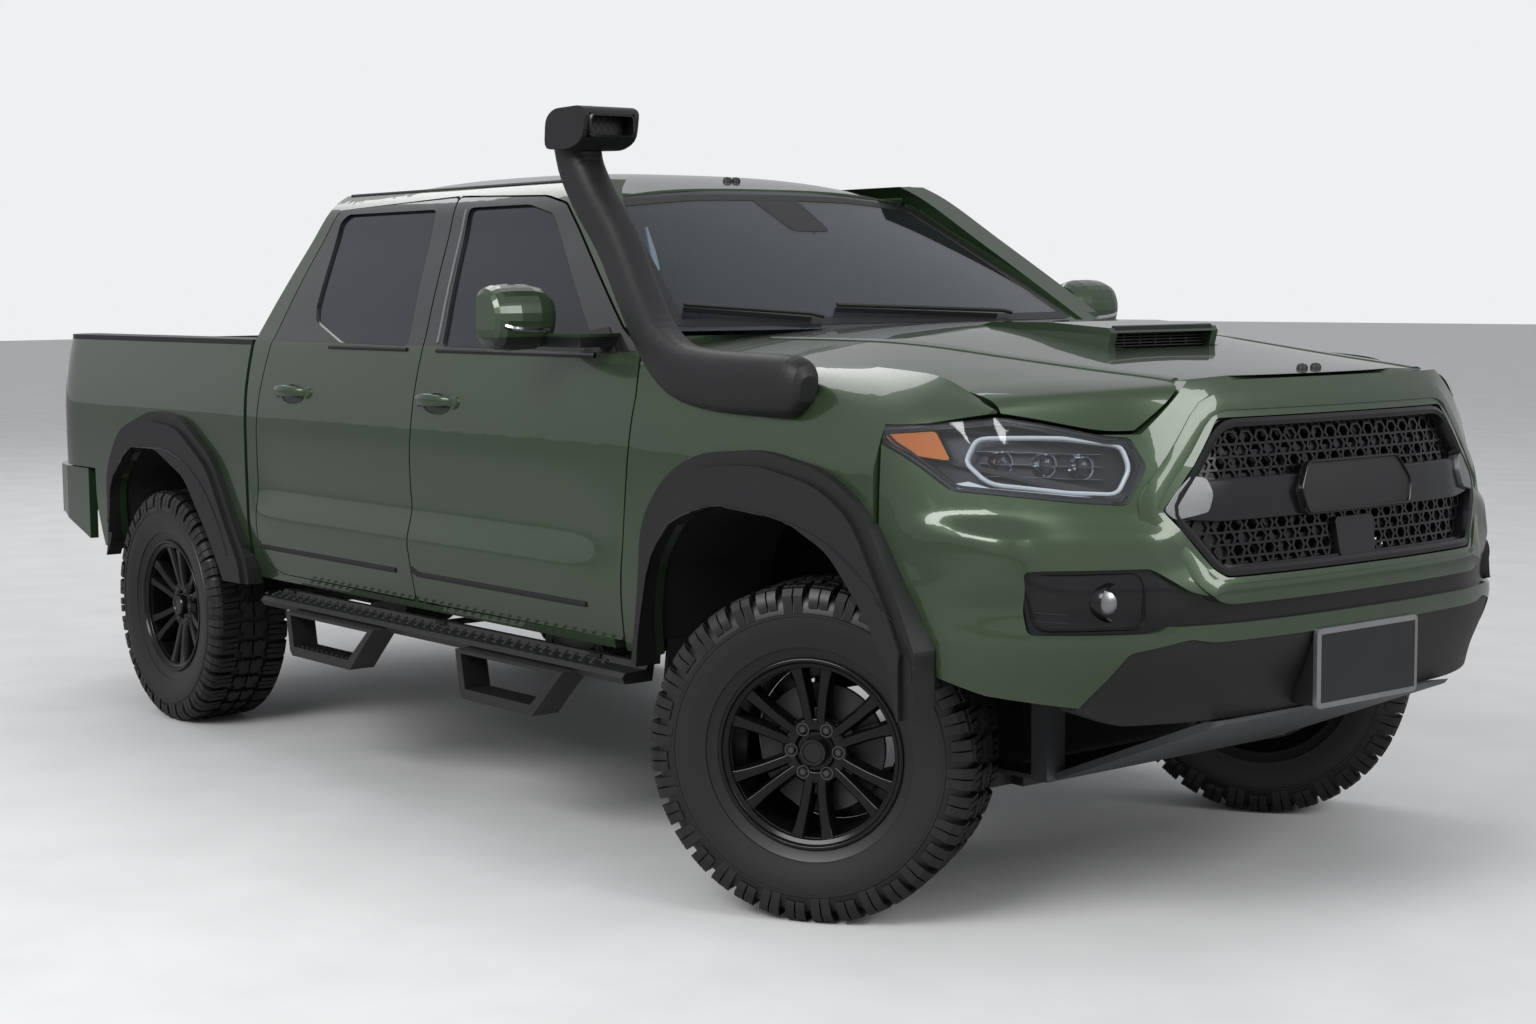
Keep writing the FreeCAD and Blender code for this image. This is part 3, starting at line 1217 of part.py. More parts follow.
def tyre_shape():
    """Many-sided tyre with a middle band and a row of shoulder blocks on each side; +x is its axle."""
    faces = []
    count = len(TYRE_ROWS)
    for i, (along, radius) in enumerate(TYRE_ROWS):
        next_along, next_radius = TYRE_ROWS[(i + 1) % count]
        for k in range(TYRE_SIDES):
            corners = [ring_point(along, radius, k), ring_point(along, radius, k + 1),
                       ring_point(next_along, next_radius, k + 1), ring_point(next_along, next_radius, k)]
            faces.append(Part.Face(Part.makePolygon(corners + corners[:1])))
    shell = Part.makeShell(faces)
    shell.sewShape()
    carcass = Part.makeSolid(Part.Shell(shell.Faces))
    if carcass.Volume < 0:
        carcass.reverse()
    blocks = []
    for points in (LUG, [(-a, r) for a, r in LUG]):
        for k in range(TYRE_SIDES):
            corners = [Vector(a, -LUG_LENGTH / 2, -r) for a, r in points]
            lug = Part.Face(Part.makePolygon(corners + corners[:1])).extrude(Vector(0, LUG_LENGTH, 0))
            lug.rotate(Vector(0, 0, 0), Vector(1, 0, 0), 360.0 * k / TYRE_SIDES)
            blocks.append(lug)
    return carcass.fuse(blocks)


def rim(name):
    """Barrel with six pairs of spokes; +x points out of the wheel."""
    lip = named["rim_radius"]
    barrel = [(size(-112), lip), (size(-112), lip - 12), (size(-90), lip - 32), (size(96), lip - 32),
              (size(112), lip - 12), (size(112), lip), (size(104), lip), (size(97), named["bead_radius"] - 1),
              (size(-97), named["bead_radius"] - 1), (size(-104), lip)]
    body = revolved(name, barrel)
    return body


def wheel_face():
    """Hub and six split spokes of one wheel."""
    hub = Part.makeCylinder(78, 60, Vector(30, 0, 0), Vector(1, 0, 0))
    cap = Part.makeCylinder(36, 14, Vector(88, 0, 0), Vector(1, 0, 0))
    reach = float(named["rim_radius"]) - 26
    spokes = []
    for k in range(6):
        for side in (-1, 1):
            spoke = prism([(side * 12, 60), (side * 34, 60), (side * 58, reach), (side * 30, reach)], "x", 56, 88)
            spoke.rotate(Vector(0, 0, 0), Vector(1, 0, 0), k * 60)
            spokes.append(spoke)
    return joined([hub, cap] + spokes)


corners = {"front_left": (True, 1), "front_right": (True, -1), "rear_left": (False, 1), "rear_right": (False, -1)}
face = wheel_face()
tyre_blank = tyre_shape()
for tag, (front, sign) in corners.items():
    body = doc.addObject("Part::Feature", f"tyre_body_{tag}")
    body.Shape = tyre_blank
    place_wheel(body, front, sign)
    keep(f"tyre_{tag}", body)
    barrel = rim(f"rim_barrel_{tag}")
    spokes = doc.addObject("Part::Feature", f"rim_face_{tag}")
    spokes.Shape = face
    whole = fuse(f"rim_whole_{tag}", [barrel, spokes])
    place_wheel(whole, front, sign * 1)
    keep(f"rim_{tag}", whole)

for sign, tag in ((1, "left"), (-1, "right")):
    upright = rod(f"upright_{tag}", "z", (0, 0, KNUCKLE_LOW), KNUCKLE_HIGH - KNUCKLE_LOW - NUDGE, 28)
    spindle_length = named["kingpin_inset"] + 30 - NUDGE
    spindle = rod(f"spindle_{tag}", "y", (0, size(0) if sign > 0 else -spindle_length, 0), spindle_length, 34)
    disc = rod(f"brake_disc_{tag}", "y", (0, sign * size(44) - (0 if sign > 0 else 14), 0), 14, 150)
    knuckle = fuse(f"knuckle_whole_{tag}", [upright, spindle, disc])
    knuckle.Placement = FreeCAD.Placement(Vector(float(front_axle), sign * float(kingpin), float(axle_height)),
                                          FreeCAD.Rotation(Vector(0, 0, 1), steer))
    keep(f"steering_knuckle_{tag}", knuckle)

# Side steps
def side_step():
    bar = prism([(872, 514), (890, 514), (900, 500), (962, 498), (972, 486), (962, 470), (880, 470)], "x", rear_x + 150, front_x + 28)
    hoops = []
    for x0, x1, top0, top1 in ((-470, -89, -399, 109), (504, 871, 586, 1122)):
        shift = front_x - 1177
        mid = (x0 + x1) / 2
        outer = [(x0 - 20, 480), (x0, 362), (x0 + 14, 348), (x1 - 14, 348), (x1, 362), (x1 + 130, 480)]
        inner = [(x0 + 8, 470), (x0 + 26, 376), (x1 - 24, 376), (x1 + 92, 470)]
        plate = prism([(x + shift, z) for x, z in outer], "y", 930, 1010)
        plate = plate.cut(prism([(x + shift, z) for x, z in inner], "y", 900, 1100))
        hoops.append(plate)
    brackets = [block((x, x + 50), (float(named["rail_outer"]) + NUDGE, 900), (rail_low.value - 1, rail_low.value + 9)) for x in (rear_x + 180, split_x + 60, front_x - 220)]
    return joined([bar] + hoops + brackets)


keep("side_steps", both(side_step()))

# Rear bumper
tail_swing = float(named["bed_floor"]) - 26 - 8


def rear_bumper():
    end = -nose_x
    plan = [(end, 0), (end, 560), (end + 14, 660), (end + 40, 740), (end + 78, 796), (end + 130, 840),
            (end + 176, 870), (end + 230, 893), (end + 330, 915), (bed_end + 345, 922),
            (bed_end + 345, 892), (end + 330, 885), (end + 240, 864), (end + 160, 815), (end + 120, 700),
            (end + 120, 0)]
    solid = prism(plan, "z", 560, 812)
    solid = solid.cut(block((end - 10, bed_end + 100), (-10, TAIL_POST), (tail_swing, 830)))
    solid = solid.cut(block((end - 10, end + 90), (-10, 420), (700, 830)))
    lower = prism([(bed_end + 400, 500), (bed_end + 400, 545), (bed_end + 60, 640), (end - 10, 600), (end - 10, 500)], "y", 0, 1000)
    return solid.cut(lower)


half_bumper = rear_bumper()
receiver = box("receiver_tube", (-half_length + 20, -half_length + 320), (-named["receiver_size"] / 2 - 6, named["receiver_size"] / 2 + 6),
               (size(430), named["receiver_size"] + 442))
receiver_bore = box("receiver_bore", (-half_length, -half_length + 400), (-named["receiver_size"] / 2, named["receiver_size"] / 2),
                    (size(436), named["receiver_size"] + 436))
hitch_beam = box("hitch_beam", (-half_length + 140, -half_length + 200), (size(-430), size(430)),
                 (named["receiver_size"] + 432, rail_low + 60 - NUDGE))
keep("rear_bumper", joined([half_bumper, mirrored(half_bumper)]))
keep("tow_hitch", cut("hitch_whole", fuse("hitch_steel", [receiver, hitch_beam]), receiver_bore))

# Skid plate and number plates
skid = prism([(nose_x - 130, 500), (nose_x - 70, 512), (nose_x - 80, 500), (nose_x - 600, 290), (nose_x - 760, 290),
              (nose_x - 760, 300), (nose_x - 610, 302)], "y", -400, 400)
skid_posts = [block((nose_x - 620, nose_x - 570), (sign * 400 - 30, sign * 400 + 30), (302, rail_low.value + 40 - NUDGE)) for sign in (1, -1)]
keep("skid_plate", joined([skid] + skid_posts))
plate_z = size(PLATE_Z)
keep("front_number_plate", box("front_plate", (half_length - 6, half_length), (-named["plate_width"] / 2, named["plate_width"] / 2),
                         (plate_z - named["plate_height"] / 2, plate_z + named["plate_height"] / 2)))

# Interior
def seat(x, y0, y1):
    cushion = block((x - 40, x + 480), (y0, y1), (sill_z + 260, sill_z + 400))
    back = prism([(x - 60, sill_z + 300), (x + 70, sill_z + 300), (x - 60, sill_z + 960), (x - 170, sill_z + 950)], "y", y0, y1)
    middle = (y0 + y1) / 2
    rest = prism([(x - 160, sill_z + 940), (x - 60, sill_z + 940), (x - 90, sill_z + 1096), (x - 170, sill_z + 1088)], "y", middle - 120, middle + 120)
    foot = block((x + 20, x + 420), (y0 + 60, y1 - 60), (sill_z + FLOOR_RISE + FLOOR_THICK + NUDGE, sill_z + 262))
    return joined([cushion, back, rest, foot])


front_seat_x = split_x + 120
seats = [seat(front_seat_x, 110, 620), seat(front_seat_x, -620, -110)]
bench = seat(rear_x + 330, -640, 640)
keep("seats", Part.makeCompound(seats + [bench]))
dash = prism([(front_x - 96 - NUDGE, sill_z + 420), (front_x - 330, sill_z + 440), (front_x - 400, sill_z + 600),
              (front_x - 330, sill_z + 720), (front_x - 96 - NUDGE, sill_z + 736)], "y", -735, 735)
wheel_ring = Part.makeTorus(180, 16, Vector(front_x - 520, 365, sill_z + 600), Vector(1, 0, 0.35))
column_rod = tube((front_x - 520, 365, sill_z + 600), (front_x - 360, 365, sill_z + 560), 30)
wheel_bar = block((front_x - 535, front_x - 505), (190, 540), (sill_z + 585, sill_z + 615))
keep("dashboard", joined([dash, wheel_ring, column_rod, wheel_bar]))

# Mirrors
MIRROR_OUTLINE = ((788, 1290), (796, 1440), (838, 1458), (905, 1436), (930, 1372), (904, 1284))
MIRROR_SECTIONS = ((948, 0.70), (966, 0.88), (1000, 0.98), (1060, 1.0), (1100, 0.96), (1119, 0.86),
                   (1128, 0.68))


def mirror():
    """Rounded housing on an arm and a foot that follows the door's skin."""
    outline = rounded(MIRROR_OUTLINE, 46)
    middle_x = sum(x for x, z in outline) / len(outline)
    middle_z = sum(z for x, z in outline) / len(outline)
    wires = []
    for y, share in MIRROR_SECTIONS:
        corners = [Vector(middle_x + (x - middle_x) * share, y, middle_z + (z - middle_z) * share)
                   for x, z in outline]
        wires.append(Part.makePolygon(corners + corners[:1]))
    shell = Part.makeLoft(wires, True, True)
    shell.translate(Vector(front_x - 1177, 0, 0))
    arm = block((front_x - 300, front_x - 110), (935, 985), (1296, 1330))
    foot = block((front_x - 170, front_x - 110), (850, 940), (1296, 1330))
    foot = foot.cut(side_slab(front_x - 300, front_x, belt_z, belt_z + 80, -NUDGE, 200))
    return joined([shell, arm, foot])


mirror_shell = mirror()
keep("mirror_left", mirror_shell)
keep("mirror_right", mirrored(mirror_shell))

# Raised air intake: place of the middle, height across the run and width, from the pod up to the neck
INTAKE = ((1848, -905, 1214, 60, 50), (1828, -905, 1217, 118, 84), (1782, -905, 1220, 140, 98),
          (1560, -902, 1222, 144, 100), (1400, -895, 1236, 138, 100), (1290, -880, 1276, 126, 98),
          (1200, -858, 1334, 116, 96), (1082, -826, 1440, 114, 96), (960, -797, 1566, 116, 98),
          (836, -784, 1684, 118, 100), (778, -779, 1764, 120, 104), (762, -779, 1830, 124, 110))
INTAKE_HEAD = ((740, 1800), (748, 1880), (786, 1902), (904, 1904), (930, 1890), (916, 1818), (856, 1796))


def intake_ring(place, way, tall, wide):
    """Closed smooth outline square to the run."""
    across = Vector(0, 1, 0) - way * way.y
    across.normalize()
    up = way.cross(across)
    points = []
    for k in range(16):
        angle = 2 * math.pi * k / 16
        c = math.copysign(abs(math.cos(angle)) ** 0.75, math.cos(angle))
        s = math.copysign(abs(math.sin(angle)) ** 0.75, math.sin(angle))
        points.append(place + across * (wide / 2 * c) + up * (tall / 2 * s))
    curve = Part.BSplineCurve()
    curve.interpolate(points, PeriodicFlag=True)
    return Part.Wire(curve.toShape())


def air_intake():
    columns = [[(i, row[k]) for i, row in enumerate(INTAKE)] for k in range(5)]
    stations = steps(0, len(INTAKE) - 1, 3 * (len(INTAKE) - 1) + 1)
    values = [[smooth_value(keys, at) for keys in columns] for at in stations]
    places = [Vector(x + nose_shift, y, z) for x, y, z, tall, wide in values]
    rings = []
    for i, (x, y, z, tall, wide) in enumerate(values):
        way = places[min(i + 1, len(places) - 1)] - places[max(i - 1, 0)]
        way.normalize()
        rings.append(intake_ring(places[i], way, tall, wide))
    run = Part.makeLoft(rings, True, True)
    if run.Volume < 0:
        run.reverse()
    head = prism([(x + nose_shift, z) for x, z in rounded(INTAKE_HEAD, 26)], "y", -866, -697)
    recess = block((nose_shift + 880, nose_shift + 960), (-852, -711), (1824, 1884))
    zone = side_slab(wind_top - 300, front_x + 100, belt_z - 60, roof_top.value + 40, -NUDGE - 6, 260)
    door_zone = zone.common(prism(rounded(front_door_outline(-10.0), 18), "y", 400, 1200))
    pillar_zone = zone.cut(ahead_of_screen(8.0)).common(block((0, front_x + 24), (0, 1200), (0, 2600)))
    solid = run.cut(mirrored(wing_slab(-NUDGE, 170))).cut(mirrored(door_zone)).cut(mirrored(pillar_zone))
    return largest(largest(solid).fuse(head)).cut(recess)


keep("air_intake", air_intake())

# Export
doc.recompute()
for item in doc.Objects:
    if {"Invalid", "Error"} & set(item.State):
        raise RuntimeError(f"{item.Label} failed: {item.State}")
for name, item in nodes.items():
    shape = item.Shape
    if shape.isNull() or not shape.isValid() or shape.Volume <= 0:
        raise RuntimeError(f"{name} has no valid shape")
os.makedirs("parts", exist_ok=True)
for name, item in nodes.items():
    item.Shape.exportStep(f"parts/{name}.step")
print(len(nodes), "sub-parts")
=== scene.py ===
import json
import math

import bmesh
import bpy
from mathutils import Matrix, Vector
from mathutils.bvhtree import BVHTree
from mathutils.geometry import delaunay_2d_cdt


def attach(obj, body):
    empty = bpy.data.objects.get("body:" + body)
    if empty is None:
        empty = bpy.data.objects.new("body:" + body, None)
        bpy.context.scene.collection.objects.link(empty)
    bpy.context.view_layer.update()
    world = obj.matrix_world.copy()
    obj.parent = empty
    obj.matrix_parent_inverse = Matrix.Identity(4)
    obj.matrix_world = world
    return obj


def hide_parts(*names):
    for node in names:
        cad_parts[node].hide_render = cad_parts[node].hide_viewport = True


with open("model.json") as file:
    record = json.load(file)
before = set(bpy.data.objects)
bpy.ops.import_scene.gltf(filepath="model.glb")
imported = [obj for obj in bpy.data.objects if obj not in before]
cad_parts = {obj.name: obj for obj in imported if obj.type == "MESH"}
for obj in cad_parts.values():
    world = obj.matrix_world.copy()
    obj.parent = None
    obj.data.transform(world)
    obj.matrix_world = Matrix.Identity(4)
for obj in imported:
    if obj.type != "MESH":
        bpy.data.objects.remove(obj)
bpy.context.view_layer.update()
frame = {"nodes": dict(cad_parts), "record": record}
nodes = frame["nodes"]
scene = bpy.context.scene
scene.view_settings.view_transform = "Standard"

# Camera: place in metres, turns in degrees, lens in pixels of the full frame
CAMERA_AT = (5.81874, -4.22675, 1.44892)
YAW, PITCH, ROLL = (math.radians(a) for a in (141.0920, -5.44817, -0.47052))
FOCAL_PX = 2318.576
IMAGE_PX = 1536
SHIFT_PX = (-0.94, -6.85)


def make_camera():
    ahead = Vector((math.cos(YAW) * math.cos(PITCH), math.sin(YAW) * math.cos(PITCH), math.sin(PITCH)))
    right = Vector((math.sin(YAW), -math.cos(YAW), 0))
    up = right.cross(ahead)
    turn = Matrix.Rotation(ROLL, 3, -ahead)
    right, up = turn @ right, turn @ up
    data = bpy.data.cameras.new("camera")
    data.sensor_width = 36
    data.lens = FOCAL_PX * data.sensor_width / IMAGE_PX
    data.shift_x, data.shift_y = (shift / IMAGE_PX for shift in SHIFT_PX)
    data.clip_end = 200
    made = bpy.data.objects.new("camera", data)
    made.matrix_world = Matrix.Translation(CAMERA_AT) @ Matrix((right, up, -ahead)).transposed().to_4x4()
    scene.collection.objects.link(made)
    scene.camera = made


make_camera()


# Materials
def shader(name, colour, rough=0.5, metal=0.0, **sockets):
    """Plain material; sockets are more inputs of its shader, with _ for a space."""
    made = bpy.data.materials.new(name)
    made.use_nodes = True
    tree = made.node_tree
    bsdf = tree.nodes["Principled BSDF"]
    bsdf.inputs["Base Color"].default_value = (*colour, 1)
    bsdf.inputs["Roughness"].default_value = rough
    bsdf.inputs["Metallic"].default_value = metal
    for key, value in sockets.items():
        bsdf.inputs[key.replace("_", " ")].default_value = value
    return made, tree, bsdf


def added(tree, kind, inputs, **settings):
    """New shader node; its inputs are numbers, colours or the outputs of other nodes."""
    made = tree.nodes.new(kind)
    for key, value in settings.items():
        setattr(made, key, value)
    for key, source in inputs.items():
        if isinstance(source, bpy.types.NodeSocket):
            tree.links.new(source, made.inputs[key])
        else:
            made.inputs[key].default_value = source
    return made


def texture(tree, scale, detail=4.0, kind="ShaderNodeTexNoise"):
    """Noise in the object's own coordinates."""
    place = added(tree, "ShaderNodeTexCoord", {})
    return added(tree, kind, {"Scale": scale, "Detail": detail, "Vector": place.outputs["Object"]})


def ramp(tree, source, stops):
    """Colour ramp over a value, between two stops of (place, colour)."""
    made = added(tree, "ShaderNodeValToRGB", {"Fac": source})
    for element, (place, colour) in zip(made.color_ramp.elements, stops):
        element.position = place
        element.color = (*colour, 1)
    return made.outputs["Color"]


def bumped(tree, bsdf, source, strength, distance):
    bump = added(tree, "ShaderNodeBump", {"Strength": strength, "Distance": distance, "Height": source})
    tree.links.new(bump.outputs["Normal"], bsdf.inputs["Normal"])


def grained(name, colour, rough, scale, strength, metal=0.0, **sockets):
    """Material with a fine grain in its height and a broad one in its tone."""
    made, tree, bsdf = shader(name, colour, rough, metal, **sockets)
    bumped(tree, bsdf, texture(tree, scale).outputs["Fac"], strength, 0.0006)
    broad = texture(tree, 6.0, 3.0)
    spread = 0.08
    low, high = (tuple(c * share for c in colour) for share in (1 - spread, 1 + spread))
    tree.links.new(ramp(tree, broad.outputs["Fac"], ((0.3, low), (0.7, high))), bsdf.inputs["Base Color"])
    return made


def higher(tree, limit):
    """1 where the object's own z lies above a limit."""
    place = added(tree, "ShaderNodeTexCoord", {})
    split = added(tree, "ShaderNodeSeparateXYZ", {"Vector": place.outputs["Object"]})
    test = added(tree, "ShaderNodeMath", {0: split.outputs["Z"], 1: limit}, operation="GREATER_THAN")
    return test.outputs["Value"]


def mixed_colour(tree, factor, first, second):
    """First colour at factor 0 and second at 1; the numbers are the colours' sockets."""
    mix = added(tree, "ShaderNodeMix", {"Factor": factor, 6: first, 7: second}, data_type="RGBA")
    return mix.outputs[2]


def car_paint(name, colour, black_above=None, black_below=None):
    """Metallic paint: flakes tilt the base and a smooth clear coat lies over them."""
    made, tree, bsdf = shader(name, colour, 0.36, 0.45, Coat_Weight=1.0, Coat_Roughness=0.015, Coat_IOR=1.5)
    flakes = texture(tree, 2600.0, 1.0, "ShaderNodeTexVoronoi")
    bumped(tree, bsdf, flakes.outputs["Distance"], 0.10, 0.0002)
    facing = added(tree, "ShaderNodeLayerWeight", {"Blend": 0.35})
    bright = tuple(min(1.0, c * 1.25) for c in colour)
    dark = tuple(c * 0.72 for c in colour)
    tint = ramp(tree, facing.outputs["Facing"], ((0.0, bright), (0.85, dark)))
    black = (0.010, 0.010, 0.011, 1)
    if black_above:
        tint = mixed_colour(tree, higher(tree, black_above), tint, black)
    if black_below:
        tint = mixed_colour(tree, higher(tree, black_below), black, tint)
    tree.links.new(tint, bsdf.inputs["Base Color"])
    return made


def glass(name, colour, alpha):
    """Tinted pane: a glossy surface, stronger at a slant, over a mix of clear and dark."""
    rough = 0.02
    made, tree, bsdf = shader(name, tuple(c * 0.25 for c in colour), rough)
    clear = added(tree, "ShaderNodeBsdfTransparent", {"Color": (*colour, 1)})
    gloss = added(tree, "ShaderNodeBsdfGlossy", {"Roughness": rough})
    facing = added(tree, "ShaderNodeLayerWeight", {"Blend": 0.5})
    steep = added(tree, "ShaderNodeMath", {0: facing.outputs["Facing"], 1: 4.0}, operation="POWER")
    mirror = added(tree, "ShaderNodeMath", {0: steep.outputs["Value"], 1: 0.8, 2: 0.04},
                   operation="MULTIPLY_ADD")
    dark = added(tree, "ShaderNodeMixShader",
                 {"Fac": alpha, 1: clear.outputs["BSDF"], 2: bsdf.outputs["BSDF"]})
    mix = added(tree, "ShaderNodeMixShader",
                {"Fac": mirror.outputs["Value"], 1: dark.outputs["Shader"], 2: gloss.outputs["BSDF"]})
    tree.links.new(mix.outputs["Shader"], tree.nodes["Material Output"].inputs["Surface"])
    return made


GREEN = (0.030, 0.054, 0.024)
BELT = 1.284
MIRROR_SPLIT = 1.322
finishes = {
    "body_paint": car_paint("army_green_paint", GREEN),
    "door_paint": car_paint("door_green_paint", GREEN, black_above=BELT),
    "mirror_shell": car_paint("mirror_green_paint", GREEN, black_below=MIRROR_SPLIT),
    "trim_black": grained("textured_black_plastic", (0.008, 0.008, 0.009), 0.5, 900, 0.35),
    "grille_black": grained("gloss_black_plastic", (0.006, 0.006, 0.007), 0.2, 60, 0.02),
    "lamp_housing": grained("lamp_housing_black", (0.012, 0.012, 0.013), 0.3, 60, 0.02),
    "liner_black": grained("liner_plastic", (0.008, 0.008, 0.008), 0.8, 120, 0.5),
    "flap_rubber": grained("flap_rubber", (0.012, 0.012, 0.012), 0.65, 200, 0.3),
    "skid_grey": grained("skid_grey_paint", (0.13, 0.135, 0.14), 0.42, 160, 0.1, metal=0.5),
    "cast_metal": grained("cast_metal", (0.08, 0.08, 0.083), 0.55, 140, 0.5, metal=0.8),
    "bed_liner": grained("sprayed_bed_liner", (0.011, 0.011, 0.011), 0.75, 260, 0.9),
    "step_black": grained("powder_coat", (0.012, 0.012, 0.013), 0.42, 700, 0.25),
    "cabin_plastic": grained("cabin_plastic", (0.012, 0.012, 0.013), 0.6, 500, 0.3),
    "seat_cloth": grained("seat_cloth", (0.014, 0.014, 0.015), 0.9, 900, 0.6),
    "exhaust_steel": grained("exhaust_steel", (0.22, 0.21, 0.19), 0.45, 60, 0.2, metal=1.0),
    "tank_plastic": grained("tank_plastic", (0.014, 0.014, 0.014), 0.7, 200, 0.3),
    "plate_white": grained("blank_plate", (0.012, 0.013, 0.015), 0.35, 300, 0.05),
    "tyre_rubber": grained("tyre_rubber", (0.009, 0.009, 0.009), 0.42, 420, 0.35),
    "rim_black": grained("gloss_black_alloy", (0.008, 0.008, 0.009), 0.2, 40, 0.02, metal=0.4),
    "chassis_black": grained("chassis_paint", (0.010, 0.010, 0.010), 0.6, 150, 0.3),
    "screen_glass": glass("screen_glass", (0.46, 0.53, 0.60), 0.14),
    "tinted_glass": glass("tinted_glass", (0.10, 0.13, 0.18), 0.35),
    "lamp_clear": glass("lamp_glass", (0.93, 0.95, 0.97), 0.02),
    "lamp_red": grained("red_lens", (0.26, 0.005, 0.007), 0.08, 90, 0.05, Coat_Weight=1.0),
    "chrome": grained("chrome", (0.62, 0.63, 0.65), 0.10, 80, 0.01, metal=1.0),
    "silver": grained("satin_silver", (0.34, 0.35, 0.36), 0.32, 300, 0.05, metal=0.9),
    "wedge_grey": grained("wedge_grey", (0.20, 0.205, 0.21), 0.38, 400, 0.06, metal=0.6),
    "white_lens": grained("white_light_guide", (0.72, 0.74, 0.76), 0.25, 90, 0.03),
    "amber": grained("amber_lens", (0.62, 0.16, 0.01), 0.15, 90, 0.05, Coat_Weight=1.0),
}

for part in frame["record"]["subparts"]:
    name = part["node"]
    finish = part["material_slot"]
    if name.startswith(("front_door_", "rear_door_")) and "glass" not in name:
        finish = "door_paint"
    if name == "cab_glass":
        finish = "screen_glass"
    nodes[name].data.materials.clear()
    nodes[name].data.materials.append(finishes[finish])


# Mesh helpers: lengths in metres
def mesh_object(name, points, faces, finish, body, slot_name, smooth=35.0, bevel=0.0):
    """Object of a mesh with outward faces; smooth is the angle in degrees up to which edges look round."""
    mesh = bpy.data.meshes.new(name)
    mesh.from_pydata([tuple(p) for p in points], [], faces)
    mesh.validate()
    made = bpy.data.objects.new(name, mesh)
    scene.collection.objects.link(made)
    tidy = bmesh.new()
    tidy.from_mesh(mesh)
    bmesh.ops.remove_doubles(tidy, verts=tidy.verts, dist=1e-6)
    bmesh.ops.recalc_face_normals(tidy, faces=tidy.faces)
    tidy.to_mesh(mesh)
    tidy.free()
    mesh.materials.append(finishes[finish])
    if bevel:
        rounding = made.modifiers.new("bevel", "BEVEL")
        rounding.width = bevel
        rounding.segments = 2
        rounding.limit_method = "ANGLE"
        rounding.angle_limit = math.radians(30)
    if smooth:
        mesh.set_sharp_from_angle(angle=math.radians(smooth))
        for face in mesh.polygons:
            face.use_smooth = True
    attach(made, body)
    return made


def turns(count):
    """Angles of equal steps round a circle."""
    return [2 * math.pi * k / count for k in range(count)]


def rectangle(a0, b0, a1, b1):
    return [(a0, b0), (a1, b0), (a1, b1), (a0, b1)]


def mirrored(points, sign):
    """Points with their first value times a sign."""
    return [(a * sign, b) for a, b in points]


def whole(half):
    """Full outline from its left half."""
    return list(half) + mirrored(list(half)[::-1], -1)


class Builder:
    """Gathers points and faces of many small shapes into one mesh."""

    def __init__(self):
        self.points = []
        self.faces = []

    def add(self, points, faces, matrix=Matrix()):
        start = len(self.points)
        self.points += [matrix @ Vector(p) for p in points]
        self.faces += [tuple(start + i for i in face) for face in faces]
        return self

    def loft(self, loops, closed=False, matrix=Matrix()):
        """Skin over loops of equal length; closed joins the last loop to the first."""
        n = len(loops[0])
        points = [p for loop in loops for p in loop]
        faces = []
        spans = len(loops) if closed else len(loops) - 1
        for i in range(spans):
            a, b = i * n, ((i + 1) % len(loops)) * n
            for k in range(n):
                m = (k + 1) % n
                faces.append((a + k, a + m, b + m, b + k))
        if not closed:
            faces.append(tuple(range(n))[::-1])
            faces.append(tuple((len(loops) - 1) * n + k for k in range(n)))
        return self.add(points, faces, matrix)

    def box(self, low, high):
        (x0, y0, z0), (x1, y1, z1) = low, high
        return self.loft([[(x, y, z) for x, y in rectangle(x0, y0, x1, y1)] for z in (z0, z1)])

    def lathe(self, profile, count, matrix=Matrix(), closed=False):
        """Turned shape about the local x axis from (along, radius) pairs."""
        loops = [[(along, radius * math.cos(t), radius * math.sin(t)) for t in turns(count)]
                 for along, radius in profile]
        return self.loft(loops, closed=closed, matrix=matrix)

    def tube(self, path, radius):
        """Round bar of eight sides along a path of points."""
        path = [Vector(p) for p in path]
        loops = []
        side = None
        for i, here in enumerate(path):
            way = (path[min(i + 1, len(path) - 1)] - path[max(i - 1, 0)]).normalized()
            if side is None:
                side = way.cross(Vector((0, 0, 1)) if abs(way.z) < 0.9 else Vector((1, 0, 0))).normalized()
            side = (side - way * side.dot(way)).normalized()
            up = way.cross(side)
            loops.append([here + (side * math.cos(t) + up * math.sin(t)) * radius for t in turns(8)])
        return self.loft(loops)

    def make(self, name, finish, slot_name=None, body="body", **options):
        """Piece in a finish; its slot name is not used."""
        return mesh_object(name, self.points, self.faces, finish, body, slot_name or finish, **options)


def rounded(points, radius):
    """Outline with each corner cut to an arc of four points."""
    out = []
    total = len(points)
    for i, corner in enumerate(points):
        here = Vector(corner)
        back = Vector(points[i - 1]) - here
        ahead = Vector(points[(i + 1) % total]) - here
        reach = min(radius, back.length * 0.45, ahead.length * 0.45)
        start = here + back.normalized() * reach
        end = here + ahead.normalized() * reach
        for k in range(4):
            t = k / 3
            out.append(tuple(start * (1 - t) ** 2 + here * 2 * t * (1 - t) + end * t ** 2))
    return out


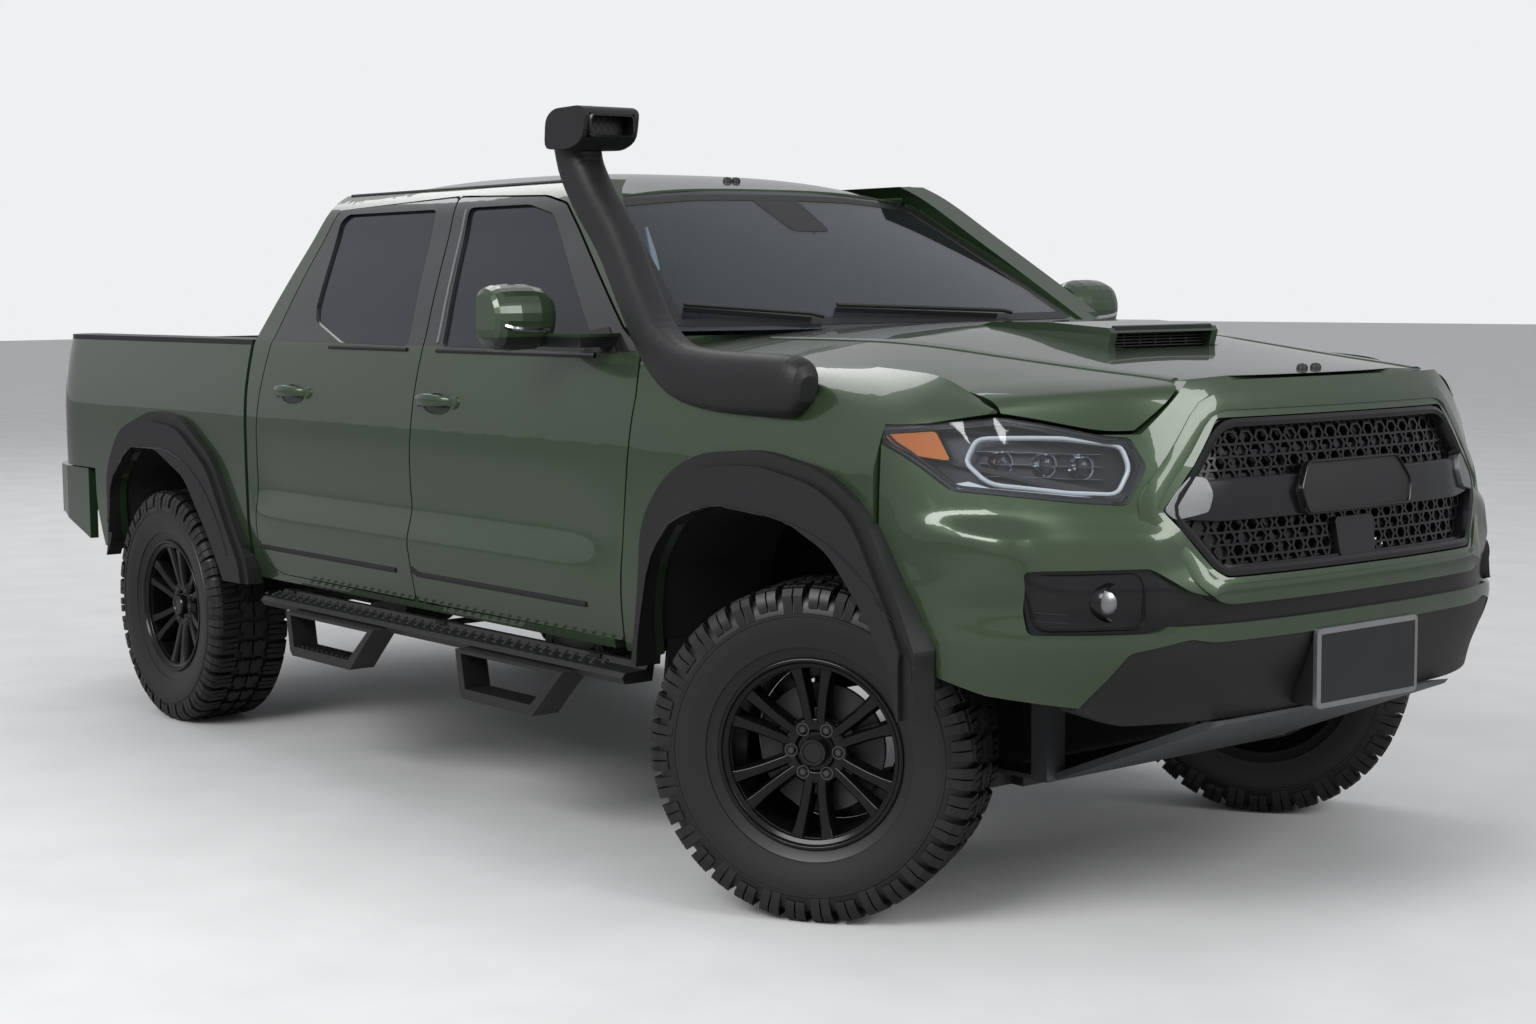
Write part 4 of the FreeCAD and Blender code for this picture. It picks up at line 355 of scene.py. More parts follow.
def grown(points, by):
    """Outline moved outwards by a distance."""
    flat = [Vector(p) for p in points]
    total = len(flat)
    area = sum(a.x * b.y - b.x * a.y for a, b in zip(flat, flat[1:] + flat[:1]))
    turn = 1 if area > 0 else -1
    out = []
    for i, here in enumerate(flat):
        back = (here - flat[i - 1]).normalized()
        ahead = (flat[(i + 1) % total] - here).normalized()
        first = Vector((back.y, -back.x)) * turn
        second = Vector((ahead.y, -ahead.x)) * turn
        middle = (first + second).normalized()
        out.append(tuple(here + middle * (by / max(0.35, middle.dot(first)))))
    return out


def inside(point, outline):
    """Whether a point lies within an outline."""
    x, y = point
    odd = False
    for i, (x0, y0) in enumerate(outline):
        x1, y1 = outline[i - 1]
        if (y0 > y) != (y1 > y) and x < (x1 - x0) * (y - y0) / (y1 - y0) + x0:
            odd = not odd
    return odd


def dense(points, pitch, closed=True):
    """Outline or path with more points, about a pitch apart."""
    out = []
    total = len(points)
    for i in range(total if closed else total - 1):
        a, b = Vector(points[i]), Vector(points[(i + 1) % total])
        count = max(1, round((b - a).length / pitch))
        out += [tuple(a.lerp(b, k / count)) for k in range(count)]
    if not closed:
        out.append(tuple(points[-1]))
    return out


def points_of(node):
    return [v.co for v in nodes[node].data.vertices]


def span(values):
    """Lowest and highest of some values."""
    values = list(values)
    return min(values), max(values)


def standing(place, normal):
    """Matrix that lays the local x axis along a surface's normal."""
    turn = Vector((1, 0, 0)).rotation_difference(normal)
    return Matrix.Translation(place) @ turn.to_matrix().to_4x4()


def aimed(place, aim):
    """Matrix that lays the local x axis along a level aim and keeps z up."""
    aim = aim.normalized()
    up = Vector((0, 0, 1))
    return Matrix.Translation(place) @ Matrix((aim, up.cross(aim).normalized(), up)).transposed().to_4x4()


class Skin:
    """Outer faces of some CAD nodes, met by straight lines along an axis; "-x" looks from behind."""

    START = 4.0
    FALLBACK = 3.0

    def __init__(self, names, axis):
        points = []
        faces = []
        for name in names:
            world = nodes[name].matrix_world
            start = len(points)
            points += [world @ co for co in points_of(name)]
            faces += [tuple(start + i for i in face.vertices) for face in nodes[name].data.polygons]
        self.tree = BVHTree.FromPolygons(points, faces)
        self.column = "xyz".index(axis[-1])
        self.side = -1 if axis[0] == "-" else 1
        self.way = Vector([-self.side if k == self.column else 0 for k in range(3)])

    def at(self, a, b):
        """Place and outward normal at (y, z) along x, (x, z) along y, or (x, y) along z."""
        start = [a, b]
        start.insert(self.column, self.START * self.side)
        start = Vector(start)
        place, normal, _, _ = self.tree.ray_cast(start, self.way)
        if place is None:
            place, normal, _, _ = self.tree.find_nearest(start + self.way * self.FALLBACK)
        if normal.dot(self.way) > 0:
            normal = -normal
        return place, normal


def between(keys, column, at):
    """Value of a column at a place along keys that start with their own places."""
    for a, b in zip(keys, keys[1:]):
        if at <= b[0]:
            t = max(0.0, (at - a[0]) / (b[0] - a[0]))
            return a[column] + (b[column] - a[column]) * t
    return keys[-1][column]


class Nose:
    """The nose's surface by (y, z), for pieces where the CAD has openings."""

    TIP = 2.696
    # How far the middle line lies ahead of the tip, by height
    LINE = ((0.5, -0.072), (0.56, -0.056), (0.64, -0.022), (0.7, -0.008), (0.8, -0.008), (0.85, -0.024),
            (1.0, -0.046), (1.165, -0.086), (1.2, -0.098), (1.236, -0.116), (1.26, -0.134))
    # How far the nose falls back at the low and at the high plan, by distance from the middle
    PLAN = ((0, 0, 0), (0.1, 0.001, 0.001), (0.2, 0.004, 0.005), (0.3, 0.011, 0.012), (0.4, 0.022, 0.024),
            (0.49, 0.044, 0.056), (0.575, 0.078, 0.1), (0.65, 0.122, 0.172), (0.715, 0.178, 0.238),
            (0.77, 0.238, 0.318), (0.815, 0.296, 0.372), (0.85, 0.355, 0.422), (0.878, 0.417, 0.462),
            (0.9, 0.48, 0.503), (0.916, 0.545, 0.556), (0.926, 0.615, 0.62), (0.93, 0.69, 0.69))
    LOW_PLAN_Z = 0.7
    PLANS_APART = 0.47
    STEP = 0.004

    def __init__(self, depth):
        self.depth = depth

    def front(self, y, z):
        share = min(1.0, max(0.0, (z - self.LOW_PLAN_Z) / self.PLANS_APART))
        low = between(self.PLAN, 1, abs(y))
        high = between(self.PLAN, 2, abs(y))
        return self.TIP + between(self.LINE, 1, z) - low - (high - low) * share

    def at(self, y, z):
        """Place below the surface by the depth, and outward normal."""
        step = self.STEP
        here = Vector((self.front(y, z), y, z))
        across = Vector((self.front(y + step, z) - self.front(y - step, z), 2 * step, 0))
        up = Vector((self.front(y, z + step) - self.front(y, z - step), 0, 2 * step))
        normal = across.cross(up).normalized()
        if normal.x < 0:
            normal = -normal
        return here - normal * self.depth, normal


class Lens:
    """Surface at a depth below the headlamps' outer faces."""

    def __init__(self, depth):
        self.depth = depth
        self.skin = Skin(["front_lamps"], "x")

    def at(self, y, z):
        place = self.skin.at(y, z)[0]
        normal = Nose(0).at(y, z)[1]
        return place - normal * self.depth, normal


def patch(skin, outline, lift, thick, pitch=0.03, builder=None):
    """Plate that follows a skin inside an outline, its face lifted off the skin by lift."""
    builder = builder or Builder()
    points = dense(outline, pitch)
    border = list(points)
    edges = [(k, (k + 1) % len(border)) for k in range(len(border))]
    (low_a, high_a), (low_b, high_b) = (span(p[k] for p in outline) for k in (0, 1))
    for i in range(1, int((high_a - low_a) / pitch) + 1):
        for j in range(1, int((high_b - low_b) / pitch) + 1):
            place = (low_a + i * pitch, low_b + j * pitch)
            if inside(place, grown(outline, -pitch * 0.45)):
                points.append(place)
    flat, _, faces, _, _, _ = delaunay_2d_cdt([Vector(p) for p in points], edges, [], 0, 1e-7)
    kept = []
    for face in faces:
        middle = (sum(flat[i].x for i in face) / len(face), sum(flat[i].y for i in face) / len(face))
        if inside(middle, border):
            kept.append(tuple(face))
    hits = [skin.at(p.x, p.y) for p in flat]
    outer = [place + normal * lift for place, normal in hits]
    inner = [place + normal * (lift - thick) for place, normal in hits]
    count = len(flat)
    # Edges that only one face has are the plate's rim
    sides = {}
    for face in kept:
        for a, b in zip(face, face[1:] + face[:1]):
            if (b, a) in sides:
                del sides[(b, a)]
            else:
                sides[(a, b)] = True
    solid = kept + [tuple(i + count for i in face[::-1]) for face in kept]
    solid += [(b, a, a + count, b + count) for a, b in sides]
    return builder.add(outer + inner, solid)


def strip(skin, path, wide, lift, thick, closed=False, pitch=0.03, crown=0.0, builder=None):
    """Band along a path on a skin; crown raises the middle of its face."""
    builder = builder or Builder()
    hits = [skin.at(a, b) for a, b in dense(path, pitch, closed)]
    places = [place for place, normal in hits]
    total = len(places)
    loops = []
    for i, (place, normal) in enumerate(hits):
        ahead = places[(i + 1) % total] if closed else places[min(i + 1, total - 1)]
        back = places[i - 1] if closed else places[max(i - 1, 0)]
        way = (ahead - back).normalized()
        side = normal.cross(way).normalized()
        half = wide / 2
        top = place + normal * lift
        bottom = place + normal * (lift - thick)
        loops.append([bottom - side * half, top - side * (half - thick * 0.2), top + normal * crown,
                      top + side * (half - thick * 0.2), bottom + side * half])
    return builder.loft(loops, closed=closed)


SIDES = (("left", 1), ("right", -1))

# Wheels: tread pitches round a tyre, and the radii of the tread blocks and of the floor between them
PITCHES = 36
TREAD = 0.3875
BASE = 0.374


def wheel_matrix(joint, sign):
    """From a wheel's own axes, +x outwards, to the row frame."""
    out = Vector(joint["axis"])
    if out.y * sign < 0:
        out = -out
    return aimed(joint["pos_m"], out)


def wrapped(points, low, high, angle):
    """Block from an outline of (along, arc length) pairs wrapped round the tyre between two radii."""
    def place(a, s, radius):
        turn = angle + s / TREAD
        return (a, radius * math.sin(turn), radius * math.cos(turn))
    return [[place(a, s, radius) for a, s in points] for radius in (low, high)]


def tyre_mesh():
    """Carcass with its sidewall ribs, and middle, outer and shoulder blocks."""
    made = Builder()
    profile = [(-0.098, 0.206), (-0.108, 0.214), (-0.112, 0.230), (-0.120, 0.246), (-0.1235, 0.247),
               (-0.1265, 0.262), (-0.1325, 0.285), (-0.1345, 0.304), (-0.1345, 0.318), (-0.1365, 0.319),
               (-0.1365, 0.324), (-0.134, 0.326), (-0.131, 0.340), (-0.124, 0.355), (-0.112, 0.366),
               (-0.09, 0.372), (-0.05, BASE), (0.0, BASE + 0.001)]
    profile += mirrored(profile[-2::-1], -1)
    made.lathe(profile + [(0.094, 0.196), (-0.094, 0.196)], 120, closed=True)
    middle = [(0.004, -0.42), (0.020, -0.30), (0.022, -0.44), (0.044, -0.36), (0.046, 0.02), (0.034, 0.10),
              (0.036, 0.34), (0.012, 0.40), (0.004, 0.20)]
    step = 2 * math.pi / PITCHES
    arc = step * TREAD
    for k in range(PITCHES):
        deep = 0.326 if k % 2 else 0.338
        shoulder = [(0.106, TREAD - 0.0012), (0.1215, TREAD - 0.007), (0.1325, TREAD - 0.022),
                    (0.1355, deep + 0.008), (0.1345, deep), (0.120, deep), (0.100, 0.362)]
        for sign in (-1, 1):
            angle = (k + (0.5 if sign > 0 else 0.0)) * step
            offset = sign * 0.25 * arc
            made.loft(wrapped([(sign * a, s * arc + offset) for a, s in middle], BASE - 0.006, TREAD, angle))
            for s0, s1, inner in ((-0.40, -0.20, 0.056), (-0.17, 0.09, 0.052), (0.12, 0.38, 0.057)):
                block = [(inner, s0), (0.098, s0 + 0.02), (0.110, s0 + 0.02), (0.110, s1), (0.098, s1),
                         (inner, s1 - 0.05)]
                made.loft(wrapped([(sign * a, s * arc) for a, s in block], BASE - 0.008, TREAD - 0.0008,
                                  angle))
            for s0, s1 in ((-0.38, -0.03), (0.03, 0.36)):
                ends = [angle + s * arc / TREAD for s in (s0, s1)]
                made.loft([[(sign * a, r * math.sin(turn), r * math.cos(turn)) for a, r in shoulder]
                           for turn in ends])
    return made


def rim_mesh():
    """Barrel with lips, a web at its back, hub and six pairs of spokes."""
    made = Builder()
    lip = 0.2215
    profile = [(0.098, 0.2035), (0.106, 0.2195), (0.1125, lip), (0.1155, lip - 0.003), (0.1155, lip - 0.009),
               (0.109, lip - 0.013), (0.104, 0.198), (0.070, 0.1935), (0.010, 0.1895), (-0.085, 0.1885),
               (-0.105, 0.206), (-0.112, 0.218), (-0.114, lip), (-0.106, 0.2195), (-0.098, 0.2035)]
    made.lathe(profile, 96, closed=True)
    made.lathe([(-0.096, 0.150), (-0.096, 0.1886), (-0.088, 0.1886), (-0.088, 0.150)], 60, closed=True)
    made.lathe([(0.030, 0.001), (0.030, 0.078), (0.060, 0.082), (0.071, 0.074), (0.073, 0.050),
                (0.066, 0.044), (0.066, 0.001)], 60)
    # Sections of a spoke from hub to rim: radius, offset, half width, face and depth
    sections = ((0.052, 0.0135, 0.0125, 0.070, 0.032), (0.085, 0.0165, 0.0130, 0.078, 0.034),
                (0.130, 0.0230, 0.0135, 0.0865, 0.034), (0.165, 0.0300, 0.0145, 0.0925, 0.034),
                (0.186, 0.0350, 0.0165, 0.0970, 0.040), (0.1985, 0.0385, 0.0195, 0.1000, 0.046))
    web = [(0.052, -0.040), (0.052, 0.040), (0.100, 0.020), (0.100, -0.020)]
    for k in range(6):
        turn = Matrix.Rotation(k * math.pi / 3, 4, "X")
        for side in (-1, 1):
            loops = []
            for radius, offset, half, face, depth in sections:
                y0, y1 = side * offset - half, side * offset + half
                loops.append([(face - depth, y0 - 0.004, radius), (face - 0.007, y0, radius),
                              (face, y0 + 0.0045, radius), (face, y1 - 0.0045, radius),
                              (face - 0.007, y1, radius), (face - depth, y1 + 0.004, radius)])
            made.loft(loops, matrix=turn)
        made.loft([[(x, y, r) for r, y in web] for x in (0.050, 0.064)], matrix=turn)
    return made


def rim_fittings():
    """Hub cap and wheel bolts."""
    cap, bolts = Builder(), Builder()
    cap.lathe([(0.060, 0.001), (0.060, 0.034), (0.086, 0.033), (0.090, 0.030), (0.0905, 0.024),
               (0.088, 0.022), (0.088, 0.001)], 40)
    for k in range(6):
        turn = Matrix.Rotation((k + 0.5) * math.pi / 3, 4, "X") @ Matrix.Translation((0, 0, 0.0565))
        bolts.lathe([(0.052, 0.001), (0.052, 0.0105), (0.074, 0.0095), (0.077, 0.007), (0.077, 0.001)], 6,
                    turn)
        bolts.lathe([(0.060, 0.0155), (0.0735, 0.0155), (0.0735, 0.0125), (0.060, 0.0125)], 20, turn,
                    closed=True)
    return cap, bolts


def make_wheels():
    joints = {j["name"]: j for j in frame["record"]["behaviour"]["joints"]}
    cap, bolts = rim_fittings()
    # Piece, its shape, finish, slot and bevel
    kinds = (("tread", tyre_mesh(), "tyre_rubber", "tyre_rubber", 0.0),
             ("alloy", rim_mesh(), "rim_black", "rim_black", 0.0012),
             ("hub_cap", cap, "grille_black", "rim_black", 0.0),
             ("wheel_bolts", bolts, "cast_metal", "cast_metal", 0.0))
    for end in ("front", "rear"):
        for side, sign in SIDES:
            matrix = wheel_matrix(joints[f"{end}_wheel_{side}_spin"], sign)
            for label, source, finish, slot_name, bevel in kinds:
                points = [matrix @ p for p in source.points]
                mesh_object(f"{label}_{end}_{side}", points, source.faces, finish,
                                          f"wheel_{end}_{side}", slot_name, 28.0, bevel)
            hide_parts(f"tyre_{end}_{side}")
            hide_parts(f"rim_{end}_{side}")


make_wheels()

# Front: left halves of the grille's opening and of a headlamp, by (y, z)
GRILLE = ((0.395, 1.158), (0.470, 1.062), (0.552, 0.969), (0.455, 0.841), (0.430, 0.824))
LAMP = ((0.585, 1.122), (0.620, 1.124), (0.700, 1.148), (0.760, 1.164), (0.850, 1.152), (0.927, 1.140),
        (0.927, 1.132), (0.905, 1.096), (0.880, 1.058), (0.850, 1.008), (0.690, 0.986), (0.612, 0.980),
        (0.566, 1.062))


def make_grille_mesh(limit):
    """Six-sided openings in staggered rows, left out behind the bar."""
    mesh = Builder()
    deep = Nose(0.022)
    pitch_y, pitch_z = 0.046, 0.0265
    corners = ((0.46, 0), (0.24, 0.5), (-0.24, 0.5), (-0.46, 0), (-0.24, -0.5), (0.24, -0.5))
    for row in range(-8, 14):
        z = 0.985 + row * pitch_z
        for column in range(-13, 14):
            y = column * pitch_y + (pitch_y / 2 if row % 2 else 0)
            if not inside((y, z), limit) or 0.938 < z < 1.036:
                continue
            loops = []
            for size, lift in ((1.03, -0.010), (1.03, 0.0), (0.70, 0.0), (0.62, -0.010)):
                hits = [deep.at(y + a * pitch_y * 1.04 * size, z + b * pitch_z * 1.2 * size)
                        for a, b in corners]
                loops.append([spot + facing * lift for spot, facing in hits])
            mesh.loft(loops, closed=True)
    mesh.make("grille_mesh", "grille_black", smooth=0)


def make_grille():
    outline = whole(GRILLE)
    band = strip(Nose(0.0), rounded(grown(outline, 0.034), 0.05), 0.050, 0.004, 0.022, True, crown=0.0035)
    band.make("grille_surround", "body_paint")
    ring = strip(Nose(0.0), rounded(grown(outline, -0.012), 0.04), 0.030, 0.002, 0.030, True, crown=0.004)
    ring.make("grille_inner_frame", "grille_black")
    make_grille_mesh(grown(outline, -0.022))
    bar = whole(((0.43, 1.030), (0.500, 1.020), (0.535, 0.975), (0.520, 0.950), (0.43, 0.942)))
    patch(Nose(0.006), bar, 0.0, 0.024).make("grille_bar", "grille_black", bevel=0.003)
    shield = rounded(whole(((0.150, 1.056), (0.196, 0.996), (0.180, 0.940))), 0.012)
    plate = patch(Nose(-0.010), shield, 0.0, 0.022)
    plate.make("grille_cartouche", "trim_black", "grille_black", bevel=0.003)
    border = rounded(whole(((0.158, 1.052), (0.194, 0.996), (0.178, 0.946))), 0.012)
    edge = strip(Nose(-0.010), border, 0.008, 0.004, 0.01, True, crown=0.001)
    edge.make("grille_cartouche_edge", "grille_black")
    wedges = Builder()
    wedge = [(0.548, 0.968), (0.520, 1.006), (0.482, 1.040), (0.446, 1.034), (0.436, 1.000), (0.452, 0.962),
             (0.528, 0.948)]
    for _, sign in SIDES:
        patch(Nose(-0.004), rounded(mirrored(wedge, sign), 0.010), 0.0, 0.026, builder=wedges)
    wedges.make("grille_wedges", "wedge_grey", "grille_black", bevel=0.006)
    panel = rounded(whole(((0.062, 0.930), (0.068, 0.922), (0.062, 0.846))), 0.008)
    patch(Nose(0.010), panel, 0.0, 0.02).make("grille_sensor_panel", "lamp_housing", "grille_black",
                                              bevel=0.002)
    line = strip(Nose(-0.001), [(0.42, 0.832), (-0.42, 0.832)], 0.006, 0.003, 0.012, pitch=0.04)
    line.make("grille_lower_line", "grille_black")


make_grille()


def make_lamp_housings():
    """Open bowls behind the lenses."""
    made = Builder()
    for _, sign in SIDES:
        outer = mirrored(dense(grown(LAMP, -0.003), 0.02), sign)
        middle = [sum(p[k] for p in outer) / len(outer) for k in (0, 1)]
        inner = [(middle[0] + (a - middle[0]) * 0.965, middle[1] + (b - middle[1]) * 0.93) for a, b in outer]
        loops = []
        for outline, depth in ((outer, 0.0060), (outer, 0.0610), (inner, 0.0560), (inner, 0.0060)):
            skin = Lens(depth)
            loops.append([skin.at(a, b)[0] for a, b in outline])
        made.loft(loops, closed=True)
        patch(Lens(0.0560), outer, 0.0, 0.0050, builder=made)
    bowls = made.make("lamp_bowls", "lamp_housing", smooth=30)
    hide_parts("front_lamp_housings")


make_lamp_housings()


def make_front_lamps():
    guide = rounded([(0.600, 1.108), (0.690, 1.124), (0.800, 1.122), (0.826, 1.070), (0.800, 1.026),
                     (0.700, 1.010), (0.622, 1.006), (0.594, 1.060)], 0.016)
    marker = rounded([(0.850, 1.136), (0.908, 1.126), (0.902, 1.104), (0.884, 1.082), (0.842, 1.072)], 0.008)
    lower = [(0.664, 1.000), (0.800, 1.017), (0.826, 1.030), (0.846, 1.024), (0.838, 1.010), (0.690, 0.994)]
    border = rounded(grown(LAMP, -0.012), 0.01)
    for side, sign in SIDES:
        made = strip(Lens(0.013), mirrored(guide, sign), 0.011, 0.003, 0.010, True, 0.02, 0.002)
        made.make(f"lamp_light_guide_{side}", "white_lens", "lamp_clear")
        fins = Builder()
        for row, (low, high) in enumerate(((0.640, 0.800), (0.636, 0.806), (0.632, 0.808))):
            z = 1.040 + row * 0.026
            path = mirrored([(low, z), (high, z + 0.006)], sign)
            strip(Lens(0.034), path, 0.007, 0.002, 0.016, pitch=0.02, builder=fins)
        fins.make(f"lamp_fins_{side}", "chrome", "lamp_clear")
        units, rings = Builder(), Builder()
        for y, z in ((0.665, 1.066), (0.722, 1.070), (0.776, 1.074)):
            spot = aimed(Lens(0.040).at(y * sign, z)[0], Vector((1.0, 0.12 * sign, 0.0)))
            units.lathe([(-0.016, 0.018), (0.0, 0.0195), (0.009, 0.015), (0.013, 0.007), (0.014, 0.0005)],
                        20, spot)
            rings.lathe([(-0.018, 0.0200), (0.003, 0.0225), (0.005, 0.0250), (-0.018, 0.0265)], 20, spot,
                        closed=True)
        units.make(f"lamp_projectors_{side}", "lamp_clear")
        rings.make(f"lamp_projector_rings_{side}", "chrome", "lamp_clear")
        made = patch(Lens(0.010), mirrored(marker, sign), 0.0, 0.012, 0.015)
        made.make(f"lamp_marker_{side}", "amber", "lamp_clear", bevel=0.002)
        made = patch(Lens(0.009), mirrored(lower, sign), 0.0, 0.008, 0.02)
        made.make(f"lamp_lower_strip_{side}", "white_lens", "lamp_clear")
        made = strip(Lens(0.007), mirrored(border, sign), 0.008, 0.0, 0.006, True, 0.02)
        made.make(f"lamp_rim_{side}", "grille_black", "lamp_housing")


make_front_lamps()


def make_lower_front():
    ribs = Builder()
    deep = Nose(0.022)
    for z in (0.742, 0.758, 0.774):
        strip(deep, [(-0.56, z), (0.56, z)], 0.007, 0.006, 0.012, pitch=0.04, builder=ribs)
    for _, sign in SIDES:
        for z in (0.738, 0.756, 0.774, 0.792, 0.810):
            path = mirrored([(0.735, z), (0.785, z + 0.004)], sign)
            strip(deep, path, 0.008, 0.010, 0.014, pitch=0.02, builder=ribs)
    ribs.make("lower_slot_ribs", "trim_black")
    pocket = rounded([(0.608, 0.842), (0.790, 0.836), (0.782, 0.722), (0.612, 0.728)], 0.02)
    for side, sign in SIDES:
        made = strip(Nose(0.002), mirrored(pocket, sign), 0.014, 0.003, 0.03, True, 0.02, 0.003)
        made.make(f"fog_frame_{side}", "trim_black")
        spot = aimed(Nose(0.020).at(0.665 * sign, 0.782)[0], Vector((1.0, 0.10 * sign, 0.0)))
        shell = Builder().lathe([(-0.030, 0.030), (0.004, 0.034), (0.010, 0.040), (0.002, 0.044),
                                 (-0.030, 0.046)], 28, spot, closed=True)
        shell.make(f"fog_shell_{side}", "grille_black", "trim_black")
        lens = Builder().lathe([(-0.020, 0.031), (0.000, 0.031), (0.008, 0.022), (0.012, 0.010),
                                (0.013, 0.0005)], 28, spot)
        lens.make(f"fog_lens_{side}", "silver", "lamp_clear")


make_lower_front()


def make_plate_frame():
    """Frame round the number plate, its inner edge against the plate's."""
    plate = points_of("front_number_plate")
    (_, front), (left, right), (low, high) = (span(p[axis] for p in plate) for axis in range(3))

    def ring(gap, radius):
        return rounded(rectangle(left - gap, low - gap, right + gap, high + gap), radius)

    outer, inner = ring(0.013, 0.014), ring(0.0006, 0.004)
    x = front - 0.0040
    sections = ((outer, -0.008), (outer, 0.0020), (inner, 0.0038), (inner, -0.008))
    trim = Builder().loft([[(x + depth, *p) for p in outline] for outline, depth in sections], closed=True)
    trim.make("plate_frame", "silver", "trim_black")


make_plate_frame()


def make_radiator():
    """Dark core with fins that closes the view through the grille."""
    made = Builder().box((2.300, -0.500, 0.720), (2.318, 0.500, 1.165))
    for k in range(22):
        z = 0.735 + k * 0.0195
        made.box((2.316, -0.490, z), (2.326, 0.490, z + 0.006))
    made.make("radiator_core", "lamp_housing", "cast_metal")


make_radiator()


# Bonnet, screens and roof
def make_bonnet_trim():
    slats = Builder()
    for k in range(5):
        z = 1.2945 + k * 0.0072
        slats.box((2.008 - k * 0.002, -0.166, z), (2.070 - k * 0.002, 0.166, z + 0.0028))
    for y in (-0.110, -0.055, 0.0, 0.055, 0.110):
        slats.box((1.996, y - 0.0016, 1.2935), (2.064, y + 0.0016, 1.3265))
    slats.make("scoop_louvres", "trim_black", body="bonnet")
    skin = Skin(["bonnet"], "z")
    lip = strip(skin, [(2.086, -0.172), (2.086, 0.172)], 0.014, 0.003, 0.010, crown=0.002)
    lip.make("scoop_lip", "grille_black", "trim_black", "bonnet")
    crease = ((1.300, 0.560), (1.700, 0.530), (2.050, 0.490), (2.350, 0.452), (2.500, 0.430))
    for side, sign in SIDES:
        made = strip(skin, [(x, y * sign) for x, y in crease], 0.030, 0.0022, 0.006, crown=0.0026)
        made.make(f"bonnet_crease_{side}", "body_paint", body="bonnet", smooth=60)
    jets = Builder()
    for y in (-0.024, 0.024):
        jets.lathe([(-0.004, 0.013), (0.006, 0.0125), (0.011, 0.009), (0.013, 0.0005)], 16,
                   standing(*skin.at(2.520, y)))
    jets.make("washer_jets", "trim_black", body="bonnet")


make_bonnet_trim()


def hull(points):
    """Convex outline of flat points, turned one way."""
    flat = sorted(set((round(a, 5), round(b, 5)) for a, b in points))

    def half(ordered):
        out = []
        for p in ordered:
            while len(out) > 1 and ((out[-1][0] - out[-2][0]) * (p[1] - out[-2][1])
                                    - (out[-1][1] - out[-2][1]) * (p[0] - out[-2][0])) <= 0:
                out.pop()
            out.append(p)
        return out[:-1]

    return half(flat) + half(flat[::-1])


def screen_outline(front):
    return hull([(p.y, p.z) for p in points_of("cab_glass") if (p.x > 0) == front])


def make_screens():
    for label, front, axis, wide in (("windscreen", True, "x", 0.036), ("rear_window", False, "-x", 0.030)):
        path = grown(screen_outline(front), -wide / 2 - 0.002)
        made = strip(Skin(["cab_glass"], axis), path, wide, 0.0012, 0.0022, True)
        made.make(f"{label}_border", "trim_black")
    skin = Skin(["cab_glass"], "x")
    low, top = span(b for a, b in screen_outline(True))
    mask = rounded([(-0.085, top - 0.02), (0.085, top - 0.02), (0.070, top - 0.120), (-0.070, top - 0.120)],
                   0.02)
    patch(skin, mask, 0.0010, 0.0020).make("screen_sensor_mask", "trim_black")
    place = skin.at(0.0, top - 0.130)[0]
    back = place + Vector((-0.090, 0, -0.035))
    shape = rounded([(-0.125, -0.030), (0.125, -0.030), (0.118, 0.036), (-0.118, 0.036)], 0.02)
    mirror = Builder().loft([[(x, *p) for p in shape] for x in (0.0, 0.022)], matrix=Matrix.Translation(back))
    mirror.tube([back + Vector((0.018, 0, 0.030)), place + Vector((-0.010, 0, 0.0))], 0.009)
    mirror.make("inner_mirror", "cabin_plastic")
    for label, pivot, tip in (("right", (-0.30, low + 0.020), (-0.660, low + 0.050)),
                              ("left", (0.40, low + 0.020), (-0.230, low + 0.044))):
        hits = [skin.at(a, b) for a, b in dense([pivot, tip], 0.04, False)]
        wiper = Builder().tube([p + n * (0.020 if k else 0.014) for k, (p, n) in enumerate(hits)], 0.0055)
        start = (pivot[0] * 0.9 + tip[0] * 0.1, pivot[1])
        strip(skin, [start, tip], 0.008, 0.012, 0.0105, builder=wiper)
        wiper.make(f"wiper_{label}", "trim_black")


make_screens()


def make_roof_trim():
    skin = Skin(["cab_body"], "z")
    rows = [p for p in points_of("cab_body") if p.z > 1.62]
    for side, sign in SIDES:
        path = []
        for k in range(26):
            x = -0.760 + k * 0.052
            near = [p.y * sign for p in rows if abs(p.x - x) < 0.06]
            if near:
                path.append((x, min(0.600, max(near) - 0.026) * sign))
        strip(skin, path, 0.012, 0.0030, 0.006, crown=0.002).make(f"drip_rail_{side}", "trim_black")
    nubs = Builder()
    for y in (-0.016, 0.016):
        nubs.lathe([(-0.004, 0.014), (0.006, 0.013), (0.012, 0.009), (0.014, 0.0005)], 16,
                   standing(*skin.at(0.420, y)))
    nubs.make("roof_nubs", "trim_black")


make_roof_trim()


